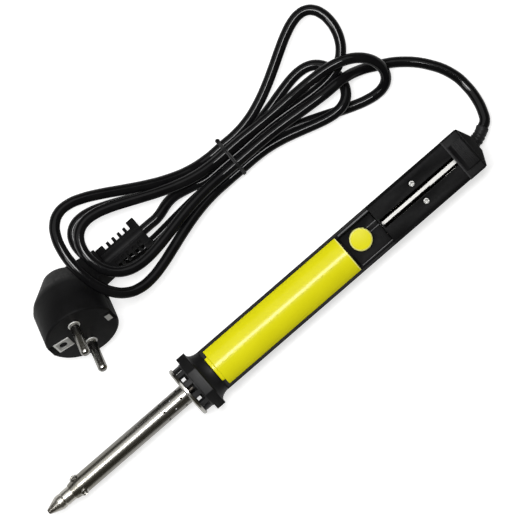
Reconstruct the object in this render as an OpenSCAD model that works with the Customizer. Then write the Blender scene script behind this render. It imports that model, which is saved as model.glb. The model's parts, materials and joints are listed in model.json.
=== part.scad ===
// Mains desoldering iron: hollow heated nozzle, spring suction pump in the handle, tied mains cord.
// Built along X from the nozzle's end to the cord, with the pump's axis at height 0, then laid on the bench.

/* [Nozzle] */
// Diameter of the suction hole in the nozzle
nozzle_hole_d = 1.6; // [1:0.1:2]
// Diameter of the nozzle's flat end
nozzle_end_d = 2.4; // [2.2:0.1:4]
// Diameter of the nozzle behind its cone
nozzle_d = 7.75; // [7:0.05:8]
// Length of the nozzle's cone
nozzle_cone_l = 7; // [4:0.5:9]
// Length of the nozzle that shows in front of the barrel
nozzle_l = 15.5; // [13:0.5:20]
// Length of the nozzle's shank inside the barrel
nozzle_shank_l = 14; // [12:0.5:18]
// Number of tip screws round the barrel
tip_screw_n = 3; // [2:1:4]
// Head diameter of a tip screw
tip_screw_head_d = 4.5; // [3.6:0.1:5]
// Height of a tip screw's head
tip_screw_head_h = 1.3; // [0.8:0.1:2]
// Shank diameter of a tip screw
tip_screw_d = 2.5; // [2:0.1:3]
// Distance of the tip screws behind the barrel's front end
tip_screw_back = 5; // [5:0.25:6]

/* [Barrel] */
// Outer diameter of the heater barrel
barrel_d = 10.4; // [9.8:0.1:11]
// Wall of the heater barrel
barrel_wall = 0.6; // [0.4:0.05:0.7]
// Length of the barrel that shows, nozzle to flange
barrel_show_l = 75; // [68:0.5:90]
// Length of the swaged nose
barrel_nose_l = 4.5; // [3:0.25:4.75]
// Diameter of a vent hole
vent_d = 1.2; // [0.8:0.1:2]
// Rows of vent holes
vent_rows = 3; // [1:1:4]
// Distance between vent rows
vent_pitch = 5.4; // [3:0.1:6]
// Vent holes in a row
vent_n = 6; // [4:1:8]
// Outer diameter of the suction tube
tube_d = 4.4; // [4:0.1:4.6]
// Bore of the suction tube
tube_bore_d = 3; // [2.4:0.1:3.2]
// Length of the ceramic heater core
heater_l = 42; // [30:1:46]

/* [Collar] */
// Diameter of the polished flange disc
flange_d = 28; // [27:0.5:30]
// Thickness of the flange disc
flange_t = 0.7; // [0.5:0.1:1]
// Length of the vent cage behind the flange
cage_l = 6.3; // [5:0.1:8]
// Outer diameter of the vent cage
cage_d = 26.4; // [24:0.2:26.6]
// Number of posts in the vent cage
cage_posts = 12; // [8:1:14]
// Anti-roll guard, across its flats
guard_af = 32; // [30:0.5:36]
// Length of the anti-roll guard
guard_l = 4.8; // [4:0.2:9]
// Length of the flare between guard and handle
flare_l = 5.7; // [3:0.1:8]

/* [Handle] */
// Width of the handle
case_w = 23.8; // [23:0.1:26]
// Length of the handle's casing
case_l = 168.5; // [168:0.5:176]
// Wall of the casing above the cover's ledge
case_wall = 1.5; // [1.2:0.1:1.8]
// Depth of the casing below the pump's axis at its front
case_front_depth = 12.5; // [12:0.1:13.5]
// Radius along the casing's lower edges
case_edge_r = 5; // [3:0.5:6]
// Height of the casing's rim above the pump's axis
rim_h = 7.25; // [6.8:0.05:7.6]
// Height of the yellow cover's crown above the pump's axis
crown_h = 11.75; // [11.2:0.05:12.5]
// Length of the yellow cover
cover_l = 86.5; // [86:0.5:88]
// Wall of the yellow cover
cover_t = 1.4; // [1:0.1:1.6]
// Length of the button bay behind the yellow cover
bay_l = 21.5; // [20.5:0.5:23]
// Height of the rear deck above the pump's axis
deck_h = 10; // [9.2:0.1:10.5]
// Thickness of the rear deck
deck_t = 2; // [1.5:0.1:2.5]
// Width of the slot for the slider's stem
slot_w = 5; // [4.6:0.1:6]
// Length of the tail cap at the end of the casing
tail_l = 4; // [3:0.5:6]

/* [Pump] */
// Stroke of the pump
stroke = 43.5; // [38:0.5:44]
// Outer diameter of the pump cylinder
pump_d = 17; // [16.4:0.1:17.4]
// Bore of the pump cylinder
pump_bore_d = 15; // [14.4:0.1:15.2]
// Gap between the pump's rear end and the button bay
pump_gap = 1.1; // [0.8:0.1:3]
// Diameter of the piston rod
rod_d = 4; // [3.4:0.1:4.2]
// Length of the piston
piston_l = 7; // [6:0.5:8]
// Wire of the main spring
spring_wire_d = 0.9; // [0.6:0.05:1]
// Turns of the main spring
spring_turns = 11; // [8:1:12]
// Length of the thumb slider
slider_l = 9.6; // [9:0.2:10]
// Height of the slider's thumb block above its saddle
thumb_h = 3.4; // [2:0.2:6]

/* [Release button] */
// Diameter of the release button
button_d = 11.6; // [11:0.2:12.6]
// Travel of the release button
button_travel = 2; // [1.5:0.1:2.2]
// Height of the button's top above the bay plate
button_show = 3.4; // [2.6:0.1:4]
// Offset of the button towards the cord's side
button_y = 1.2; // [0:0.1:1.2]

/* [Mains cord] */
// Diameter of the mains cord
cord_d = 5.5; // [5:0.1:5.8]
// Distance between strands in the tie
strand_pitch = 7.4; // [7.2:0.1:7.8]
// Rings round each loop of the hank
loop_rings = 24; // [20:1:28]
// Width of the hank's tie
tie_w = 3; // [2:0.5:8]
// Diameter of a plug pin
plug_pin_d = 4.8; // [4:0.1:5]
// Length of a plug pin
plug_pin_l = 19; // [17:0.5:20]
// Distance between the plug's pins
plug_pin_pitch = 19; // [18:0.5:20]
// Diameter of the plug's face
plug_d = 38.5; // [35:0.5:39]
// Depth of the plug, face to back
plug_depth = 36; // [34:0.5:38]

/* [Hidden] */
$fn = 48;
// Clearances
slip = 0.05;
guide = 0.08;
free = 0.3;
skin = 0.1;
// Stations along the axis
barrel_x = nozzle_l;
flange_x = barrel_x + barrel_show_l;
cage_x = flange_x + flange_t;
guard_x = cage_x + cage_l;
flare_x = guard_x + guard_l;
case_x = flare_x + flare_l;
case_end = case_x + case_l;
overall_l = case_end + tail_l;
front_wall = 3;
cover_x = case_x + 2;
bay_x = cover_x + cover_l;
deck_x = bay_x + bay_l;
bench = -guard_af / 2;
// Hot end
nozzle_end_x = nozzle_l + nozzle_shank_l;
socket_l = 8;
barrel_id = barrel_d - 2 * barrel_wall;
nose_id = nozzle_d + 2 * slip;
nose_od = nose_id + 2 * barrel_wall - 0.6;
nose_land = 2;
screw_x = barrel_x + tip_screw_back;
screw_turn = 50;
barrel_end = case_x + front_wall;
vent_back = 3.5;
heater_x = nozzle_end_x + 1.5;
heater_flange_t = 2;
heater_neck_d = tube_d + 2;
washer_t = 1.2;
washer_d = 15;
spigot_d = 15;
lead_d = 1.4;
lead_y = 1.75;
lead_z = -3;
lead_run_y = 5.2;
lead_run_z = -10;
// Handle sections
half_w = case_w / 2;
inner_w = half_w - case_wall;
ledge_w = 1.2;
ledge_h = 3.5;
lower_w = inner_w - ledge_w;
floor_t = 1.5;
heel_depth = guard_af / 2;
heel_slope = atan((heel_depth - case_front_depth) / case_l);
dome_r = 14;
tongue_w = 14;
tongue_l = 1.7;
tongue_z = max(rim_h, spigot_d / 2) + skin;
// Pump
cap_x = barrel_end + 9;
cap_l = 6;
cap_lip = 2;
nipple_l = 3;
pump_x = cap_x + cap_lip;
rear_cap_l = 4;
rear_cap_lip = 1.4;
pump_end = bay_x - pump_gap - rear_cap_lip;
pump_l = pump_end - pump_x;
piston_x = pump_end - rear_cap_l - 2 - piston_l;
piston_d = pump_bore_d - 0.4;
ring_w = 2;
ring_seat_d = piston_d - 3;
spring_d = pump_bore_d - 2;
spring_front = cap_x + cap_l;
rod_end = case_end - slider_l / 2 + 1;
slider_x = case_end - free - slider_l;
stem_l = 6;
stem_x = slider_x + (slider_l - stem_l) / 2;
pin_d = 2;
bush_d = rod_d + 3;
saddle_t = 1.6;
thumb_w = 15;
saddle_z = deck_h + free;
saddle_top = saddle_z + saddle_t;
// Release button
button_x = bay_x + 9.5;
plate_t = 2;
plate_z = 4.6;
button_top = plate_z + button_show;
ring_t = 3;
ring_w_out = 9;
ring_bottom = -rod_d / 2 - free - 2.2;
boss_d = 7;
boss_top = -10.5;
button_wire_d = 0.5;
button_spring_d = 4;
latch_x = button_x + stroke;
// Screws of the rear deck
deck_l = case_end - deck_x;
deck_screw_x = deck_x + 0.427 * deck_l;
deck_screw_y = 5.6;
deck_screw_d = 3;
deck_screw_shank_d = 1.8;
deck_screw_l = 9;
deck_post_d = 5;
// Cord entry
cord_y = 0.8;
cord_z = -8.5;
cord_r = cord_d / 2;
clamp_x = overall_l - 22;
clamp_l = 7;
block_x = deck_x + 0.137 * deck_l;
block_l = 0.205 * deck_l;
block_w = 13;
block_h = 5;
block_z = floor_t + 3.7 - heel_depth;
block_y = 4;
relief_d = 7.4;
relief_tip_d = 6;
relief_flange_d = 10;
relief_flange_t = 1.6;
relief_x = case_end - 8.5;
tail_plug_l = 3;
clamp_w = 16;
clamp_t = 2;
clamp_z = cord_z + cord_r - 0.6;
clamp_screw_y = 5.6;
clamp_screw_d = 2;
clamp_screw_head_d = 3.6;
clamp_screw_l = 9;
clamp_screw_bottom = clamp_z + clamp_t - clamp_screw_l;
// The strain relief's bend, measured from the end of the tail cap
relief_bend = [[-1, 0, 0], [1.5, 0.1, 0], [3.5, 0.6, -0.1], [5.2, 1.3, -0.3], [6.9, 2.1, -0.5], [8.5, 3, -0.7]];
relief_path = [for (q = relief_bend) [overall_l, cord_y, cord_z] + q];
relief_end = relief_path[len(relief_path) - 1] - [0, 0, bench];
// Hank: place of the tie, half length of its straight run, and where each strand goes through it,
// as steps across and rows up
tie_at = [184, 74];
tie_half = 9;
tie_t = 0.7;
tie_lift = cord_r + tie_t + 2 * slip;
strand_slots = [[0, 1], [1, 1], [-1, 1], [0.5, 0], [-0.5, 0], [0.5, 2], [-0.5, 2]];
// Loops in the order of the cord, right and left by turns: length, half width, lean, height of the far end
// and how much higher the first side lies
loops = [[81.5, 14, 16, 15, 0], [94, 23, 11, 35, 0], [67, 10.5, -2, 8, -3], [87.5, 13, 15, 2.95, 0],
    [86, 9.5, -15, 13.4, 8.6], [86, 14.5, 9, 31, 0]];
// Plug: its face's centre, the turn of its pins from square, their lean from upright and its roll about them.
// It lies on the cone at the back of its body
plug_turn = -16;
plug_tilt = 55;
plug_roll = 12;
plug_r = plug_d / 2;
plug_side = [[plug_r, 0.54 * plug_depth], [plug_r - 1, 0.62 * plug_depth], [plug_r - 6, 0.82 * plug_depth],
    [0.46 * plug_r, plug_depth]];
plug_at = [71.4, 56.1, max([for (p = plug_side) p[0] * sin(plug_tilt) + p[1] * cos(plug_tilt)])];
neck_l = 24.7;
boot_z = -29.5;
boot_w = 18;
boot_l = 25;
boot_teeth = 4;
boot_spine_w = 9;
clip_tabs = [4, 11];
clip_hole_d = 4.2;
clip_hole_in = 6.5;
clip_w = 8;
clip_t = 0.8;
clip_drop = 11;
clip_x = plug_d / 2 - 1.4;
neck_out = neck_l * cos(plug_roll);
neck_up = neck_l * sin(plug_roll);
neck_back = neck_up * cos(plug_tilt) - boot_z * sin(plug_tilt);
boot_start = plug_at + [neck_out * cos(plug_turn) - neck_back * sin(plug_turn),
    neck_out * sin(plug_turn) + neck_back * cos(plug_turn), neck_up * sin(plug_tilt) + boot_z * cos(plug_tilt)];
boot_end = boot_start + [boot_l, 0, 0];
// Free stretches of the cord, chosen by hand between their two ends
lead_path = concat([relief_end, relief_end + [2.6, 1.5, -0.3]],
    [[294, 9.6, 5.4], [295.8, 16, 4], [296.4, 24, 3], [295.2, 33, 2.8], [289.5, 44.4, 2.8],
        [279.1, 55.4, 2.8], [269, 61.5, 4.4], [260, 65.6, 10], [251, 67.4, 16.4], [240, 67.6, 19.2],
        [226, 68.6, 18.8], [212, 69.8, 17.4]],
    [for (x = [16, 12, tie_half]) [tie_at[0] + x, strand(6)[0], strand(6)[1]]]);
tail_path = concat([for (x = [tie_half, 13, 16]) [tie_at[0] - x, strand(0)[0], strand(0)[1]]],
    [[158, 76.6, 10.8], [148, 78.2, 12.6]],
    [for (x = [9, 5, 0]) boot_end + [x, 0, 0]]);

// Frames: the tool's axis lies above the bench, and the origin is under the middle of the tool
module lay() { translate([-overall_l / 2, 0, -bench]) children(); }
module on_bench() { translate([-overall_l / 2, 0, 0]) children(); }
module along_x(x) { translate([x, 0, 0]) rotate([0, 90, 0]) children(); }
module rod_x(x, l, d) { along_x(x) cylinder(h = l, d = d); }
module pipe_x(x, l, d, bore) {
    difference() {
        rod_x(x, l, d);
        rod_x(x - 1, l + 2, bore);
    }
}
// A section drawn across Y and up Z, swept along X
module sweep_x(x, l) { translate([x, 0, 0]) rotate([90, 0, 90]) linear_extrude(l) children(); }

// Tubes along a list of points
function unit(v) = v / norm(v);
function ends(i, n) = max(0, min(n - 1, i));
function tangents(p) = [for (i = [0:len(p) - 1]) unit(p[ends(i + 1, len(p))] - p[ends(i - 1, len(p))])];
function square_to(n, t) = unit(n - (n * t) * t);
function normals(t) = [
    for (i = 0, n = square_to([0.1, 0.2, 1], t[0]); i < len(t);
        i = i + 1, n = square_to(n, t[ends(i, len(t))])) n];
function ring(c, t, n, r, sides) =
    [for (k = [0:sides - 1]) c + r * (cos(360 * k / sides) * n + sin(360 * k / sides) * cross(t, n))];
module tube(p, radii, sides) {
    t = tangents(p);
    n = normals(t);
    rings = len(p);
    points = [for (i = [0:rings - 1]) each ring(p[i], t[i], n[i], radii[i], sides)];
    walls = [for (i = [0:rings - 2], k = [0:sides - 1]) let (a = i * sides + k, b = i * sides + (k + 1) % sides)
        each [[a, a + sides, b], [b, a + sides, b + sides]]];
    last = (rings - 1) * sides;
    caps = [for (k = [1:sides - 2]) each [[0, k, k + 1], [last, last + k + 1, last + k]]];
    polyhedron(points, concat(walls, caps));
}
module cord(p, d, sides) { tube(p, [for (q = p) d / 2], sides); }
// A coil spring along Z, ground square to its seats by its end rings
module coil(d, wire, turns, l) {
    per_turn = 8;
    steps = turns * per_turn;
    rise = l - wire;
    points = [for (i = [0:steps]) let (a = 360 * i / per_turn)
        [(d - wire) / 2 * cos(a), (d - wire) / 2 * sin(a), wire / 2 + rise * i / steps]];
    cord(points, wire, 6);
}

// Hot end
module nozzle() {
    groove_x = 9.5;
    groove = 0.4;
    color("silver") lay() difference() {
        along_x(0) rotate_extrude() polygon([[0, 0], [nozzle_end_d / 2, 0], [nozzle_d / 2, nozzle_cone_l],
            [nozzle_d / 2, groove_x], [nozzle_d / 2 - groove, groove_x + groove],
            [nozzle_d / 2, groove_x + 2 * groove], [nozzle_d / 2, nozzle_end_x], [0, nozzle_end_x]]);
        rod_x(-1, nozzle_end_x + 2, nozzle_hole_d);
        rod_x(nozzle_end_x - socket_l, socket_l + 1, tube_d + 2 * slip);
    }
}

module round_screws() {
    for (i = [0:tip_screw_n - 1]) translate([screw_x, 0, 0]) rotate([screw_turn + 360 * i / tip_screw_n, 0, 0])
        children();
}
module tip_screws() {
    slot = 0.7;
    dome_r = 0.7 * tip_screw_head_d;
    color("gainsboro") lay() round_screws() difference() {
        union() {
            translate([0, 0, nozzle_d / 2 + slip]) cylinder(h = barrel_d / 2 - nozzle_d / 2, d = tip_screw_d);
            difference() {
                intersection() {
                    translate([0, 0, barrel_d / 2 - 1]) cylinder(h = tip_screw_head_h + 1, d = tip_screw_head_d);
                    translate([0, 0, barrel_d / 2 + tip_screw_head_h - dome_r]) sphere(dome_r);
                }
                rod_x(-barrel_d, 2 * barrel_d, barrel_d);
            }
        }
        for (a = [0, 90]) rotate([0, 0, a])
            translate([-1.3, -slot / 2, barrel_d / 2 + tip_screw_head_h - slot]) cube([2.6, slot, 2]);
    }
}

module heater_barrel() {
    color("lightsteelblue") lay() difference() {
        along_x(0) rotate_extrude() polygon([[nose_id / 2, barrel_x], [nose_od / 2, barrel_x],
            [barrel_d / 2, barrel_x + barrel_nose_l], [barrel_d / 2, barrel_end], [barrel_id / 2, barrel_end],
            [barrel_id / 2, barrel_x + barrel_nose_l], [nose_id / 2, barrel_x + nose_land]]);
        round_screws() cylinder(h = barrel_d, d = tip_screw_d + 2 * slip);
        for (row = [0:vent_rows - 1], i = [0:vent_n - 1])
            translate([flange_x - vent_back - row * vent_pitch, 0, 0])
                rotate([360 / vent_n * (i + row / 2), 0, 0]) cylinder(h = barrel_d, d = vent_d);
    }
}

module suction_tube() {
    tube_x = nozzle_end_x - socket_l;
    color("lightgray") lay() pipe_x(tube_x, cap_x - tube_x, tube_d, tube_bore_d);
}

module heater_core() {
    flange_r = barrel_id / 2 - slip;
    color("white") lay() difference() {
        union() {
            rod_x(heater_x, heater_l, heater_neck_d);
            for (x = [heater_x, heater_x + heater_l - heater_flange_t]) rod_x(x, heater_flange_t, 2 * flange_r);
        }
        rod_x(heater_x - 1, heater_l + 2, tube_d + 2 * slip);
    }
}

module heater_winding() {
    wound_x = heater_x + heater_flange_t;
    color("dimgray") lay() pipe_x(wound_x, heater_l - 2 * heater_flange_t, barrel_id - 0.8, heater_neck_d);
}

module barrel_flange() {
    rim = 1.2;
    inner_r = barrel_d / 2 + slip;
    rim_r = flange_d / 2;
    color("whitesmoke") lay() along_x(flange_x) rotate_extrude() polygon([[inner_r, 0], [rim_r - flange_t, 0],
        [rim_r, flange_t], [rim_r, flange_t + rim], [rim_r - flange_t * 0.6, flange_t + rim],
        [rim_r - flange_t * 0.6, flange_t], [inner_r, flange_t]]);
}

// Moulded collar: open vent cage, octagonal guard and a hollow-curved flare into the handle
module front_collar() {
    post_t = 2;
    post_w = 2.6;
    ring_l = 1;
    hub_d = 14;
    guard_corner = guard_af / cos(22.5);
    flare_big = guard_af / 2 - 1;
    flare_small = half_w;
    flare_points = [for (i = [0:6]) let (a = 15 * i)
        [flare_big - (flare_big - flare_small) * sin(a), flare_x + flare_l * (1 - cos(a))]];
    color("#2a2a2c") lay() difference() {
        union() {
            for (i = [0:cage_posts - 1]) rotate([360 / cage_posts * (i + 0.5), 0, 0])
                translate([cage_x, -post_w / 2, cage_d / 2 - post_t - 0.2]) cube([cage_l + 1, post_w, post_t]);
            pipe_x(cage_x, ring_l, cage_d, cage_d - 2 * post_t);
            rotate([22.5, 0, 0]) along_x(guard_x) cylinder(h = guard_l, d = guard_corner, $fn = 8);
            rod_x(guard_x - 1, 2, cage_d);
            along_x(0) rotate_extrude() polygon(concat([[0, flare_x]], flare_points, [[0, case_x]]));
            rod_x(case_x - 1, front_wall + 1, spigot_d);
            rod_x(guard_x - 2.5, 3, hub_d);
        }
        rod_x(cage_x - 1, case_x - cage_x + front_wall + 2, barrel_d + 2 * slip);
    }
}

module heat_washer() {
    color("wheat") lay() difference() {
        rod_x(barrel_end, washer_t, washer_d);
        rod_x(barrel_end - 1, washer_t + 2, tube_d + 2 * slip);
        for (s = [-1, 1]) translate([0, s * lead_y, lead_z]) rod_x(barrel_end - 1, washer_t + 2, lead_d + 0.4);
        translate([0, 0, -barrel_d / 2 + barrel_wall / 2]) rod_x(barrel_end - 1, washer_t + 2, lead_d + 0.4);
    }
}

// Handle
// Rounded trough: half width, depth below the axis, top above it, lower edge radius
module trough(w, depth, top, r) {
    translate([-w, r - depth]) square([2 * w, depth - r + top]);
    translate([r - w, -depth]) square([2 * (w - r), r + 0.1]);
    for (s = [-1, 1]) translate([s * (w - r), r - depth]) circle(r);
}
// The handle's underside falls from the collar to the heel, where it meets the bench
module sloped(x, l, w, depth, top, r) {
    run = l / cos(heel_slope) + 2;
    fall = depth - case_front_depth;
    intersection() {
        translate([case_x, 0, -fall]) rotate([0, heel_slope, 0]) sweep_x(x - case_x - 1, run)
            trough(w, case_front_depth, top + fall + 20, r);
        translate([x, -w, -2 * heel_depth]) cube([l, 2 * w, 2 * heel_depth + top]);
    }
}
module casing_outside() { sloped(case_x, case_l, half_w, case_front_depth, rim_h, case_edge_r); }
module casing_inside() {
    inside_x = case_x + front_wall;
    inside_l = case_l - front_wall + 1;
    sloped(inside_x, inside_l, lower_w, case_front_depth - floor_t, rim_h + 1, case_edge_r - floor_t);
    translate([inside_x, -inner_w, ledge_h]) cube([inside_l, 2 * inner_w, rim_h]);
    translate([cover_x, -inner_w, ledge_h]) cube([front_wall, 2 * inner_w, rim_h]);
}
module lower_casing() {
    saddle_l = 3;
    saddles = [cap_x + 10, pump_end - 12];
    color("#1d1d1f") lay() difference() {
        union() {
            difference() {
                casing_outside();
                casing_inside();
            }
            intersection() {
                casing_outside();
                union() {
                    for (x = saddles) translate([x, -half_w, -2 * heel_depth])
                        cube([saddle_l, 2 * half_w, 2 * heel_depth - pump_d / 4]);
                    translate([button_x, button_y, -2 * heel_depth])
                        cylinder(h = 2 * heel_depth + boss_top, d = boss_d);
                    for (s = [-1, 1]) translate([deck_screw_x, s * deck_screw_y, -2 * heel_depth])
                        cylinder(h = 2 * heel_depth + deck_h - deck_t, d = deck_post_d);
                    translate([clamp_x, -7.5, -2 * heel_depth])
                        cube([clamp_l, 15, 2 * heel_depth + cord_z - cord_r + 0.6]);
                }
            }
        }
        rod_x(case_x - 1, front_wall + 2, spigot_d + 2 * slip);
        rod_x(saddles[0] - 1, pump_end - saddles[0], pump_d + 2 * slip);
        for (s = [-1, 1]) {
            translate([cap_x, s * lead_run_y, lead_run_z]) rod_x(0, pump_end - cap_x, lead_d + 0.8);
            translate([deck_screw_x, s * deck_screw_y, deck_h - deck_t - deck_screw_l])
                cylinder(h = deck_screw_l + 1, d = deck_screw_shank_d);
        }
        translate([0, 0, lead_run_z]) rod_x(cap_x, pump_end - cap_x, lead_d + 0.8);
        translate([0, cord_y, cord_z]) rod_x(clamp_x - 1, clamp_l + 2, cord_d);
        clamp_screw_places() translate([0, 0, clamp_screw_bottom])
            cylinder(h = clamp_screw_l, d = clamp_screw_d);
    }
}

module dome(r) { translate([0, crown_h - dome_r]) circle(r, $fn = 96); }
module top_cover() {
    w = inner_w - skin;
    color("#e4de1c") lay() {
        sweep_x(cover_x + skin, cover_l - skin) difference() {
            intersection() {
                dome(dome_r);
                translate([-w, ledge_h]) square([2 * w, crown_h]);
            }
            intersection() {
                dome(dome_r - cover_t);
                translate([cover_t - w, ledge_h - 1]) square([2 * (w - cover_t), crown_h]);
            }
        }
        sweep_x(cover_x + skin, cover_t) intersection() {
            dome(dome_r);
            translate([-w, tongue_z]) square([2 * w, crown_h]);
        }
        sweep_x(cover_x - tongue_l, tongue_l + 1) intersection() {
            dome(dome_r - 0.8);
            translate([-tongue_w / 2, tongue_z]) square([tongue_w, crown_h]);
        }
    }
}

module bay_plate() {
    w = inner_w - skin;
    plate_w = lower_w - skin;
    rail_t = 1.4;
    wall_t = 1.2;
    guide_l = 6;
    color("#26262a") lay() difference() {
        union() {
            translate([bay_x + skin, -plate_w, plate_z - plate_t])
                cube([bay_l - 2 * skin, 2 * plate_w, plate_t]);
            for (s = [-1, 1]) translate([bay_x + skin, s * (w - rail_t / 2) - rail_t / 2, ledge_h])
                cube([bay_l - 2 * skin, rail_t, rim_h - ledge_h + 1.2]);
            translate([deck_x - guide_l, button_y - 0.4, plate_z - 1]) cube([guide_l - skin, 3.2, 2.2]);
            sweep_x(bay_x + skin, wall_t) intersection() {
                dome(dome_r - cover_t - skin);
                translate([-plate_w, plate_z - plate_t]) square([2 * plate_w, crown_h]);
            }
        }
        translate([button_x, button_y, plate_z - plate_t - 1])
            cylinder(h = plate_t + 2, d = button_d + 2 * guide);
    }
}

module rear_cover() {
    edge = 1.5;
    rail_w = 4;
    skirt_w = inner_w - skin;
    slot_x = deck_x + 1;
    slot_end = stem_x + stem_l + free;
    color("#222225") lay() difference() {
        union() {
            sweep_x(deck_x, case_end - deck_x) polygon([[-half_w, rim_h], [half_w, rim_h],
                [half_w, deck_h - edge], [half_w - edge, deck_h], [edge - half_w, deck_h],
                [-half_w, deck_h - edge]]);
            for (s = [-1, 1]) translate([deck_x + skin, s * (skirt_w - 0.6) - 0.6, ledge_h])
                cube([case_end - deck_x - 2 * skin, 1.2, rim_h - ledge_h + 1]);
        }
        translate([slot_x, -slot_w / 2, 0]) cube([slot_end - slot_x, slot_w, 2 * deck_h]);
        translate([slot_x, rail_w - half_w, rim_h - 1])
            cube([slot_end - slot_x, 2 * (half_w - rail_w), deck_h - deck_t - rim_h + 1]);
        for (s = [-1, 1]) translate([deck_screw_x, s * deck_screw_y, 0]) {
            cylinder(h = 2 * deck_h, d = deck_screw_shank_d + 2 * guide);
            translate([0, 0, deck_h - 1.2]) cylinder(h = 3, d = deck_screw_d + 1.2);
        }
    }
}

module cover_screws() {
    head_h = 0.9;
    color("silver") lay() for (s = [-1, 1]) translate([deck_screw_x, s * deck_screw_y, 0]) difference() {
        union() {
            translate([0, 0, deck_h - 1.2]) cylinder(h = head_h, d = deck_screw_d);
            translate([0, 0, deck_h - deck_t - deck_screw_l + 1])
                cylinder(h = deck_screw_l, d = deck_screw_shank_d);
        }
        for (a = [0, 90]) rotate([0, 0, a]) translate([-0.9, -0.25, deck_h - 0.8]) cube([1.8, 0.5, 1]);
    }
}

module tail_cap() {
    chamfer = 3;
    corner = tail_l - 0.5;
    nose_w = 4.6;
    color("#1d1d1f") lay() difference() {
        union() {
            intersection() {
                sweep_x(case_end, tail_l) trough(half_w, heel_depth, deck_h, case_edge_r);
                rotate([90, 0, 0]) translate([0, 0, -half_w]) linear_extrude(2 * half_w)
                    polygon([[case_end, -heel_depth], [overall_l - chamfer, -heel_depth],
                        [overall_l, chamfer - heel_depth], [overall_l, deck_h - chamfer],
                        [overall_l - chamfer, deck_h], [case_end, deck_h]]);
                translate([0, 0, -heel_depth]) linear_extrude(heel_depth + deck_h)
                    polygon([[case_end, -half_w], [overall_l - corner, -half_w], [overall_l, -nose_w],
                        [overall_l, nose_w], [overall_l - corner, half_w], [case_end, half_w]]);
            }
            translate([case_end - tail_plug_l, cord_y - 6, -heel_depth + floor_t + free])
                cube([tail_plug_l + 1, 12, heel_depth + cord_z + 4.6 - floor_t - free]);
        }
        translate([0, cord_y, cord_z]) rod_x(case_end - tail_plug_l - 1, tail_plug_l + tail_l + 2,
            relief_d + 2 * slip);
    }
}

// Pump
module pump_cylinder() { color("#c8c8c8") lay() pipe_x(pump_x, pump_l, pump_d, pump_bore_d); }

module pump_front_cap() {
    color("#303034") lay() difference() {
        union() {
            rod_x(cap_x, cap_lip, pump_d);
            rod_x(cap_x, cap_l, pump_bore_d - 2 * slip);
            rod_x(cap_x - nipple_l, nipple_l + 1, tube_d + 4);
        }
        rod_x(cap_x - nipple_l - 1, nipple_l + 1, tube_d + 2 * slip);
        rod_x(cap_x - nipple_l - 1, cap_l + nipple_l + 2, tube_bore_d);
    }
}

module pump_rear_cap() {
    air_hole_d = 1.6;
    color("#303034") lay() difference() {
        union() {
            rod_x(pump_end - rear_cap_l, rear_cap_l, pump_bore_d - 2 * slip);
            rod_x(pump_end, rear_cap_lip, pump_d);
        }
        rod_x(pump_end - rear_cap_l - 1, rear_cap_l + 4, bush_d);
        for (a = [45:90:315]) rotate([a, 0, 0]) translate([0, 0, pump_bore_d / 3])
            rod_x(pump_end - rear_cap_l - 1, 10, air_hole_d);
    }
}

module rod_bush() {
    color("goldenrod") lay() pipe_x(pump_end - rear_cap_l, rear_cap_l + rear_cap_lip, bush_d, rod_d + 2 * slip);
}

module piston() {
    groove_x = piston_x + (piston_l - ring_w) / 2;
    color("#e8e8e0") lay() difference() {
        rod_x(piston_x, piston_l, piston_d);
        pipe_x(groove_x, ring_w, pump_d, ring_seat_d);
        rod_x(piston_x + 1.5, piston_l, rod_d);
    }
}

module piston_ring() {
    groove_x = piston_x + (piston_l - ring_w) / 2;
    color("#3a2020") lay() pipe_x(groove_x + slip, ring_w - 2 * slip, pump_bore_d - 2 * slip, ring_seat_d);
}

// The rod's groove stops under the button's latch ring when the slider is pushed right forward
module piston_rod() {
    groove_l = ring_t + 1;
    groove_d = rod_d - 1.6;
    groove_top = 0.7;
    flat_x = bay_x + 1;
    front_flat = rod_d / 2 - 0.16;
    rear_flat = rod_d / 2 - 0.44;
    color("silver") lay() difference() {
        rod_x(piston_x + 1.5, rod_end - piston_x - 1.5, rod_d);
        intersection() {
            pipe_x(latch_x - groove_l / 2, groove_l, rod_d + 1, groove_d);
            translate([latch_x - groove_l, -rod_d, groove_top - 2 * rod_d]) cube(2 * rod_d);
        }
        translate([flat_x, -rod_d, front_flat]) cube([stem_x - flat_x, 2 * rod_d, rod_d]);
        translate([latch_x, -rod_d, rear_flat]) cube([stem_x - latch_x, 2 * rod_d, rod_d]);
        translate([stem_x + stem_l / 2, 0, -rod_d]) rotate([90, 0, 0]) translate([0, rod_d, -rod_d])
            cylinder(h = 2 * rod_d, d = pin_d);
    }
}

module main_spring() {
    color("lightgray") lay() along_x(spring_front + skin)
        coil(spring_d, spring_wire_d, spring_turns, piston_x - spring_front - 2 * skin);
}

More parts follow.
